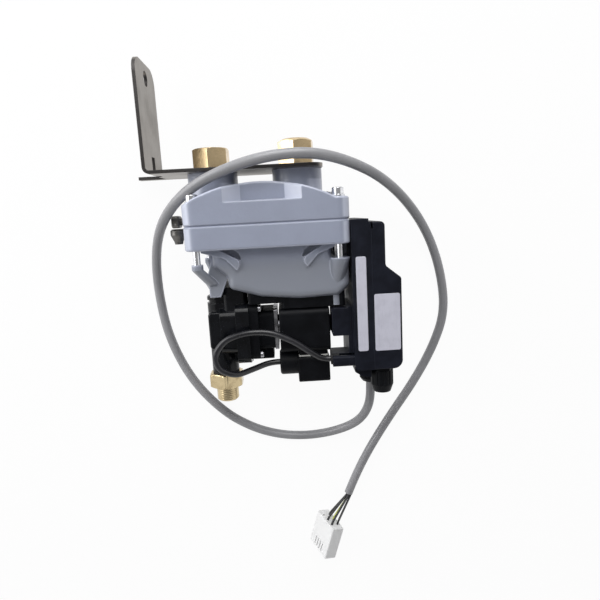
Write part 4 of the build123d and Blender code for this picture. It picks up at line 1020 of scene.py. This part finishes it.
@dataclass
class FreeCord:
    """Grey power cord from its gland on the electronics to its plug.

    Attributes:
        diameter: the cord's diameter, in metres.
        length: its real length, in metres; not used.
        route: control points on the casting's datum, in millimetres.
    """

    diameter: float = 0.009
    length: float = 1.094
    route: tuple[Point, ...] = (
        (92, -161, 39), (92, -177, 39), (89, -193, 35), (82, -208, 26.5),
        (69, -220, 16.5), (49, -228.5, 9), (24, -232, 5.5), (-4, -229, 5),
        (-32, -219, 5), (-62, -199, 5), (-93, -161, 5), (-112, -113, 6),
        (-117, -66, 9), (-112, -24, 25), (-95, 7, 57), (-66, 31, 84),
        (-31, 46, 92), (4, 54.5, 93), (40, 56, 92), (73, 48, 83),
        (106, 34, 58), (136, 10, 32), (160, -22, 12), (174, -62, 6),
        (178, -104, 5), (165, -141, 5), (144, -178, 5), (119, -213, 5),
        (95, -250, 5), (78, -282, 5), (69, -303, 5.5),
    )

    def build(self, plug: bpy.types.Object, palette: Palette) -> bpy.types.Object:
        """Args:
            plug: the shell of its plug; not used.
            palette: the finishes.

        Returns:
            The cord.
        """
        cord = smooth_line("cord", [on_row(*point) for point in self.route], self.diameter / 2)
        palette.dress(cord, CORD_GREY)
        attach(cord, "drain")
        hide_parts("power_cord")
        tuple(on_row(*self.route[0]))
        return cord


def smooth_line(name: str, points: list[Vector], radius: float) -> bpy.types.Object:
    """Round tube along a smooth spline.

    Args:
        name: the piece's name.
        points: the spline's control points.
        radius: the tube's radius.

    Returns:
        The curve object.
    """
    data = bpy.data.curves.new(name, "CURVE")
    data.dimensions = "3D"
    spline = data.splines.new("NURBS")
    spline.points.add(len(points) - 1)
    for control, point in zip(spline.points, points, strict=True):
        control.co = (*point, 1.0)
    spline.order_u = SPLINE_ORDER
    spline.use_endpoint_u = True
    data.resolution_u = SPLINE_STEPS
    data.bevel_depth = radius
    data.bevel_resolution = TUBE_FACETS
    data.use_fill_caps = True
    return enter(name, data)


@dataclass
class OutletNipple:
    """Brass outlet with a hexagon and a cut thread.

    Attributes:
        across_flats: size of the hexagon, in metres.
        hex_height: height of the hexagon.
        neck: length of the neck above the hexagon.
        stand_off: how far the hexagon stays below its seat.
        thread_radius: outer radius of the thread.
        pitch: advance of the thread per turn.
        groove: depth of the thread.
        crest: how steep the thread's flanks are; above 1 they leave a flat crest.
        lead_in: plain length at each end of the thread.
        bore: radius of the bore.
        relief: how much thinner than the thread the neck is.
        chamfer: height of the chamfers on the hexagon.
        chamfer_circles: circles at the start, middle and end of a chamfer, as shares of the hexagon's flat.
        steps: rings per turn of the thread.
        mouth: chamfer round the neck's mouth.
        tip: height of the chamfer at the thread's end, and how far inside the crest its two circles are.
        bore_chamfer: chamfer of the bore.
    """

    across_flats: float = 0.030
    hex_height: float = 0.014
    neck: float = 0.014
    stand_off: float = 0.00005
    thread_radius: float = 0.01048
    pitch: float = 0.001814
    groove: float = 0.0002
    crest: float = 1.15
    lead_in: float = 0.0012
    bore: float = 0.0075
    relief: float = 0.0001
    chamfer: float = 0.0014
    chamfer_circles: Point = (0.97, 1.06, 1.1547)
    steps: int = 10
    mouth: float = 0.0009
    tip: Point = (0.0006, 0.0007, 0.0013)
    bore_chamfer: float = 0.0004

    def thread(self, height: float, start: float) -> Radius:
        """Cuts the thread at one height.

        Args:
            height: the height.
            start: the height where the thread starts.

        Returns:
            Its radius at each angle.
        """

        def radius(angle: float) -> float:
            """Radius at one angle."""
            turn = ((height - start) / self.pitch + angle / (2 * math.pi)) % 1.0
            ridge = 1.0 - abs(2.0 * turn - 1.0)
            return self.thread_radius - self.groove * (1.0 - min(1.0, ridge * self.crest))

        return radius

    def hexagon(self, top: float, end: float) -> list[Row]:
        """Lays out the hexagon with its two chamfers.

        Args:
            top: the height of its upper face.
            end: the height of its lower face.

        Returns:
            Its rows.
        """
        corner, flat = hexagon_radius(self.across_flats), self.across_flats / 2
        start, middle, full = (flat * share for share in self.chamfer_circles)
        return [
            (top, start),
            (top - self.chamfer / 2, trimmed(corner, middle)),
            (top - self.chamfer, trimmed(corner, full)),
            (end + self.chamfer, trimmed(corner, full)),
            (end + self.chamfer / 2, trimmed(corner, middle)),
            (end, start),
        ]

    def build(self, palette: Palette) -> bpy.types.Object:
        """Builds the outlet over its CAD solid.

        Args:
            palette: the finishes.

        Returns:
            The object.
        """
        low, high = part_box("outlet_adapter")
        axis_x, axis_z = (low.x + high.x) / 2, (low.z + high.z) / 2
        hex_top = high.y - self.neck - self.stand_off
        hex_end = hex_top - self.hex_height
        root = self.thread_radius - self.groove
        rows: list[Row] = [
            (high.y, self.bore),
            (high.y, self.thread_radius - self.mouth),
            (high.y - self.mouth, self.thread_radius - self.relief),
            (hex_top, self.thread_radius - self.relief),
            *self.hexagon(hex_top, hex_end),
            (hex_end, root),
        ]
        step = self.pitch / self.steps
        height = hex_end - self.lead_in
        rows.append((height, root))
        while height - step > low.y + self.lead_in:
            height -= step
            rows.append((height, self.thread(height, hex_end)))
        rise, outer, inner = self.tip
        rows += [
            (low.y + rise, self.thread_radius - outer),
            (low.y, self.thread_radius - inner),
            (low.y, self.bore + self.bore_chamfer),
            (low.y + self.bore_chamfer, self.bore),
        ]
        nipple = TurnedPiece(Vector((axis_x, 0.0, axis_z)), rows).build("outlet_nipple")
        smooth_by_angle(nipple, degrees=24.0)
        palette.dress(nipple, PALE_BRASS)
        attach(nipple, "drain")
        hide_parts("outlet_adapter")
        return nipple


@dataclass
class PlugShell:
    """Nylon shell of the cord's plug, with its latch slots on the upper side.

    Attributes:
        face: middle of its wire face on the casting's datum, in millimetres.
        level: unit direction across its thickness, from the side below to the side above.
    """

    face: Point = (47.0, -325.8, 18.36)
    level: Point = (-0.8608, 0.2714, 0.4305)

    def build(self, shell: bpy.types.Object, palette: Palette) -> bpy.types.Object:
        """Builds the shell the other way up.

        Args:
            shell: its plain solid, with the slots below.
            palette: the finishes.

        Returns:
            The object.
        """
        middle, across = on_row(*self.face), Vector(self.level).normalized()
        shape = bmesh.new()
        shape.from_mesh(shell.data)
        for corner in shape.verts:
            corner.co -= 2 * (corner.co - middle).dot(across) * across
        bmesh.ops.reverse_faces(shape, faces=shape.faces)
        piece = mesh_piece("plug_housing", shape)
        smooth_by_angle(piece)
        palette.dress(piece, NYLON)
        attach(piece, "drain")
        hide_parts("connector_shell")
        return piece


class End(Enum):
    """End of a piece along X that stays in its seat."""

    LEFT = 0
    RIGHT = 1


@dataclass
class YieldingPiece:
    """Spring or diaphragm, made as a copy of its solid at rest.

    Attributes:
        name: the piece's name.
        node: the solid that it stands for.
        joint: name of the joint that moves its free end; not used.
        stroke: that joint's travel, in metres.
        seat: its end that stays in place; not used.
        finish: its finish.
        slot: name of its material slot; not used.
    """

    name: str
    node: str
    joint: str
    stroke: float
    seat: End
    finish: Finish
    slot: str

    def build(self, solid: bpy.types.Object, palette: Palette) -> bpy.types.Object:
        """Builds the piece over its solid.

        Args:
            solid: its solid at rest.
            palette: the finishes.

        Returns:
            The object.
        """
        low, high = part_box(self.node)
        shape = bmesh.new()
        shape.from_mesh(solid.data)
        piece = mesh_piece(self.name, shape)
        smooth_by_angle(piece)
        palette.dress(piece, self.finish)
        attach(piece, "drain")
        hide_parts(self.node)
        keep = 1.0 - self.stroke / (high.x - low.x)
        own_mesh(piece)
        return piece


LIFT, PULL, PRESS = 0.002, 0.0015, 0.001  # travel of the closing disc, the plunger and the test button
WIRE = (SPRING, "spring_steel")  # finish and slot of the springs
YIELDING_PIECES = (
    YieldingPiece("diaphragm_skin", "diaphragm", "closing_disc_lift", LIFT, End.RIGHT, RUBBER, "rubber"),
    YieldingPiece("closing_coil", "closing_spring", "closing_disc_lift", LIFT, End.RIGHT, *WIRE),
    YieldingPiece("plunger_coil", "plunger_spring", "plunger_stroke", PULL, End.RIGHT, *WIRE),
    YieldingPiece("button_coil", "button_spring", "test_button_press", PRESS, End.LEFT, *WIRE),
)


@dataclass
class LabelPlate:
    """Bare rounded label on the front of the electronics.

    Attributes:
        name: the piece's name.
        left, right, bottom, top: its edges on the casting's datum, in millimetres.
        front: the face that it lies on, in millimetres.
        corner: radius of its corners, in millimetres.
        corner_steps: lengths that each corner is cut in.
        thickness: how far it stands proud, in metres.
        rolled_edge: inset, in millimetres, and share of the thickness at each ring of its edge.
    """

    name: str
    left: float
    right: float
    bottom: float
    top: float
    front: float
    corner: float = 1.6
    corner_steps: int = 6
    thickness: float = 0.0003
    rolled_edge: tuple[Pair, ...] = ((0.0, 0.0), (0.0, 0.6), (0.12, 0.9), (0.3, 1.0))

    def outline(self, inset: float) -> list[Point]:
        """Lays out the plate's outline.

        Args:
            inset: its margin inside the full outline, in millimetres.

        Returns:
            Its points, in millimetres.
        """
        left, right = self.left + self.corner, self.right - self.corner
        bottom, top = self.bottom + self.corner, self.top - self.corner
        radius = self.corner - inset
        spots = []
        for quarter, (x, y) in enumerate([(right, top), (left, top), (left, bottom), (right, bottom)]):
            for step in range(self.corner_steps + 1):
                angle = math.pi / 2 * (quarter + step / self.corner_steps)
                spots.append((x + radius * math.cos(angle), y + radius * math.sin(angle), self.front))
        return spots

    def build(self, palette: Palette) -> bpy.types.Object:
        """Builds the plate with a rolled edge.

        Args:
            palette: the finishes.

        Returns:
            The object.
        """
        shape = bmesh.new()
        rings = []
        for inset, lift in self.rolled_edge:
            rise = Vector((0.0, 0.0, self.thickness * lift))
            rings.append([shape.verts.new(on_row(*spot) + rise) for spot in self.outline(inset)])
        for ring, following in zip(rings, rings[1:], strict=False):
            bridge(shape, ring, following)
        shape.faces.new(rings[-1])
        shape.faces.new(list(reversed(rings[0])))
        plate = mesh_piece(self.name, shape)
        palette.dress(plate, PLATE)
        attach(plate, "drain")
        return plate


# ---- stage ----


@dataclass(frozen=True)
class SoftLamp:
    """Soft square lamp that hangs over the object.

    Attributes:
        name: the lamp's name.
        place: where it hangs.
        size: its side, in metres.
        power: its power, in watts.
        aim: the point that it faces.
    """

    name: str
    place: Point
    size: float
    power: float
    aim: Point = (0.0, 0.0, 0.03)

    def hang(self) -> None:
        """Hangs the lamp."""
        data = bpy.data.lights.new(self.name, "AREA")
        data.energy = self.power
        data.size = self.size
        lamp = enter(self.name, data)
        lamp.location = self.place
        lamp.rotation_mode = "QUATERNION"
        lamp.rotation_quaternion = (Vector(self.aim) - Vector(self.place)).to_track_quat("-Z", "Y")


@dataclass(frozen=True)
class Studio:
    """Pale floor, soft lamps, white surround and the camera.

    Attributes:
        lens: focal length, in millimetres.
        sensor: width of the sensor, in millimetres.
        clip: nearest and farthest distance that the camera sees.
        eye: the camera's place.
        up_depth: the object's Z axis as the camera sees it.
        roll: the camera's roll, in degrees.
        sweep: radius and height of each ring of the floor, as it rises into a low backdrop.
        sides: sides of the floor.
        drop: how far the floor lies under the object, in metres.
        matt: the floor's colour under the object's shadow.
        glow: how much of the floor that a lens sees is plain white, from 0 to 1.
        surround: strength of the even surround.
        lamps: the lamps.
    """

    lens: float = 30.0
    sensor: float = 36.0
    clip: Pair = (0.01, 20.0)
    eye: Point = (0.0200, 0.0193, 0.517)
    up_depth: Point = (0.030, -0.172, 1.0)
    roll: float = 3.3
    sweep: tuple[Pair, ...] = ((2.2, 0.0), (2.5, 0.04), (2.75, 0.16), (2.92, 0.36), (3.0, 0.7), (3.0, 2.6))
    sides: int = 64
    drop: float = 0.0002
    matt: Colour = (0.86, 0.86, 0.87)
    glow: float = 0.95
    surround: float = 0.3
    lamps: tuple[SoftLamp, ...] = (
        SoftLamp("left_lamp", (-0.95, 0.4, 0.45), size=1.0, power=9.5),
        SoftLamp("top_lamp", (0.1, 1.0, 0.5), size=0.6, power=4.5),
        SoftLamp("high_lamp", (0.05, 0.8, 1.0), size=0.7, power=6.2),
    )

    def camera(self) -> None:
        """Places the camera."""
        depth = Vector(self.up_depth).normalized()
        turn = math.radians(self.roll)
        across = Vector((math.cos(turn), math.sin(turn), 0.0))
        across.z = -(across.x * depth.x + across.y * depth.y) / depth.z
        across.normalize()
        upright = depth.cross(across)
        data = bpy.data.cameras.new("studio_camera")
        data.lens = self.lens
        data.sensor_width = self.sensor
        data.clip_start, data.clip_end = self.clip
        camera = enter("studio_camera", data)
        rotation = Matrix((across, upright, depth)).to_4x4()
        camera.matrix_world = Matrix.Translation(Vector(self.eye)) @ rotation
        bpy.context.scene.camera = camera

    def floor_finish(self) -> bpy.types.Material:
        """Builds the floor's material, white to a lens and pale to light.

        Returns:
            The material.
        """
        graph = Graph("studio_floor")
        rays = ("Is Camera Ray", "Is Glossy Ray", "Is Transmission Ray")
        camera, glossy, transmitted = (graph.node("ShaderNodeLightPath", output=name) for name in rays)
        seen = graph.node("ShaderNodeClamp", {}, {"Value": camera + glossy + transmitted})
        matt = graph.node("ShaderNodeBsdfDiffuse", {}, {"Color": self.matt})
        glow = graph.node("ShaderNodeEmission", {}, {"Color": (1.0, 1.0, 1.0), "Strength": 1.0})
        share = seen * self.glow
        graph.close(graph.node("ShaderNodeMixShader", {}, {0: share, 1: matt, 2: glow}))
        return graph.material

    def floor(self) -> None:
        """Lays a pale floor that keeps the object's shadow and sweeps up into a low backdrop."""
        shape = bmesh.new()
        turns = [2 * math.pi * index / self.sides for index in range(self.sides)]
        rings = []
        for radius, height in self.sweep:
            spots = [(radius * math.cos(turn), radius * math.sin(turn), height) for turn in turns]
            rings.append([shape.verts.new(spot) for spot in spots])
        shape.faces.new(rings[0])
        for ring, following in zip(rings, rings[1:], strict=False):
            bridge(shape, ring, following)
        floor = mesh_piece("studio_floor", shape)
        for face in floor.data.polygons:
            face.use_smooth = True
        floor.location.z = -self.drop
        floor.data.materials.append(self.floor_finish())

    def world(self) -> None:
        """Sets an even pale surround."""
        world = bpy.data.worlds.new("studio_world")
        bpy.context.scene.world = world
        world.use_nodes = True
        background = world.node_tree.nodes["Background"]
        background.inputs["Color"].default_value = (1.0, 1.0, 1.0, 1.0)
        background.inputs["Strength"].default_value = self.surround

    def build(self) -> None:
        """Sets up the whole stage."""
        self.camera()
        self.floor()
        self.world()
        for lamp in self.lamps:
            lamp.hang()
        bpy.context.scene.view_settings.view_transform = "Standard"


def main() -> None:
    """Builds the dressed drain and its stage."""
    logging.basicConfig(level=logging.INFO, format="%(name)s: %(message)s")
    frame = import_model()
    palette = Palette()
    Studio().build()
    for node, finish in NODE_FINISHES.items():
        palette.dress(frame["nodes"][node], finish)
    log.info("dressed %d solids", len(NODE_FINISHES))
    plug = PlugShell().build(frame["nodes"]["connector_shell"], palette)
    pieces = [
        plug,
        FreeCord().build(plug, palette),
        OutletNipple().build(palette),
        LabelPlate("narrow_label", left=74.5, right=83.5, bottom=-117, top=-33, front=89).build(palette),
        LabelPlate("wide_label", left=89.7, right=112.3, bottom=-117.4, top=-66.4, front=89).build(palette),
    ]
    pieces += [piece.build(frame["nodes"][piece.node], palette) for piece in YIELDING_PIECES]
    for piece in pieces:
        log.info("made %s", piece.name)


if __name__ == "__main__":
    main()
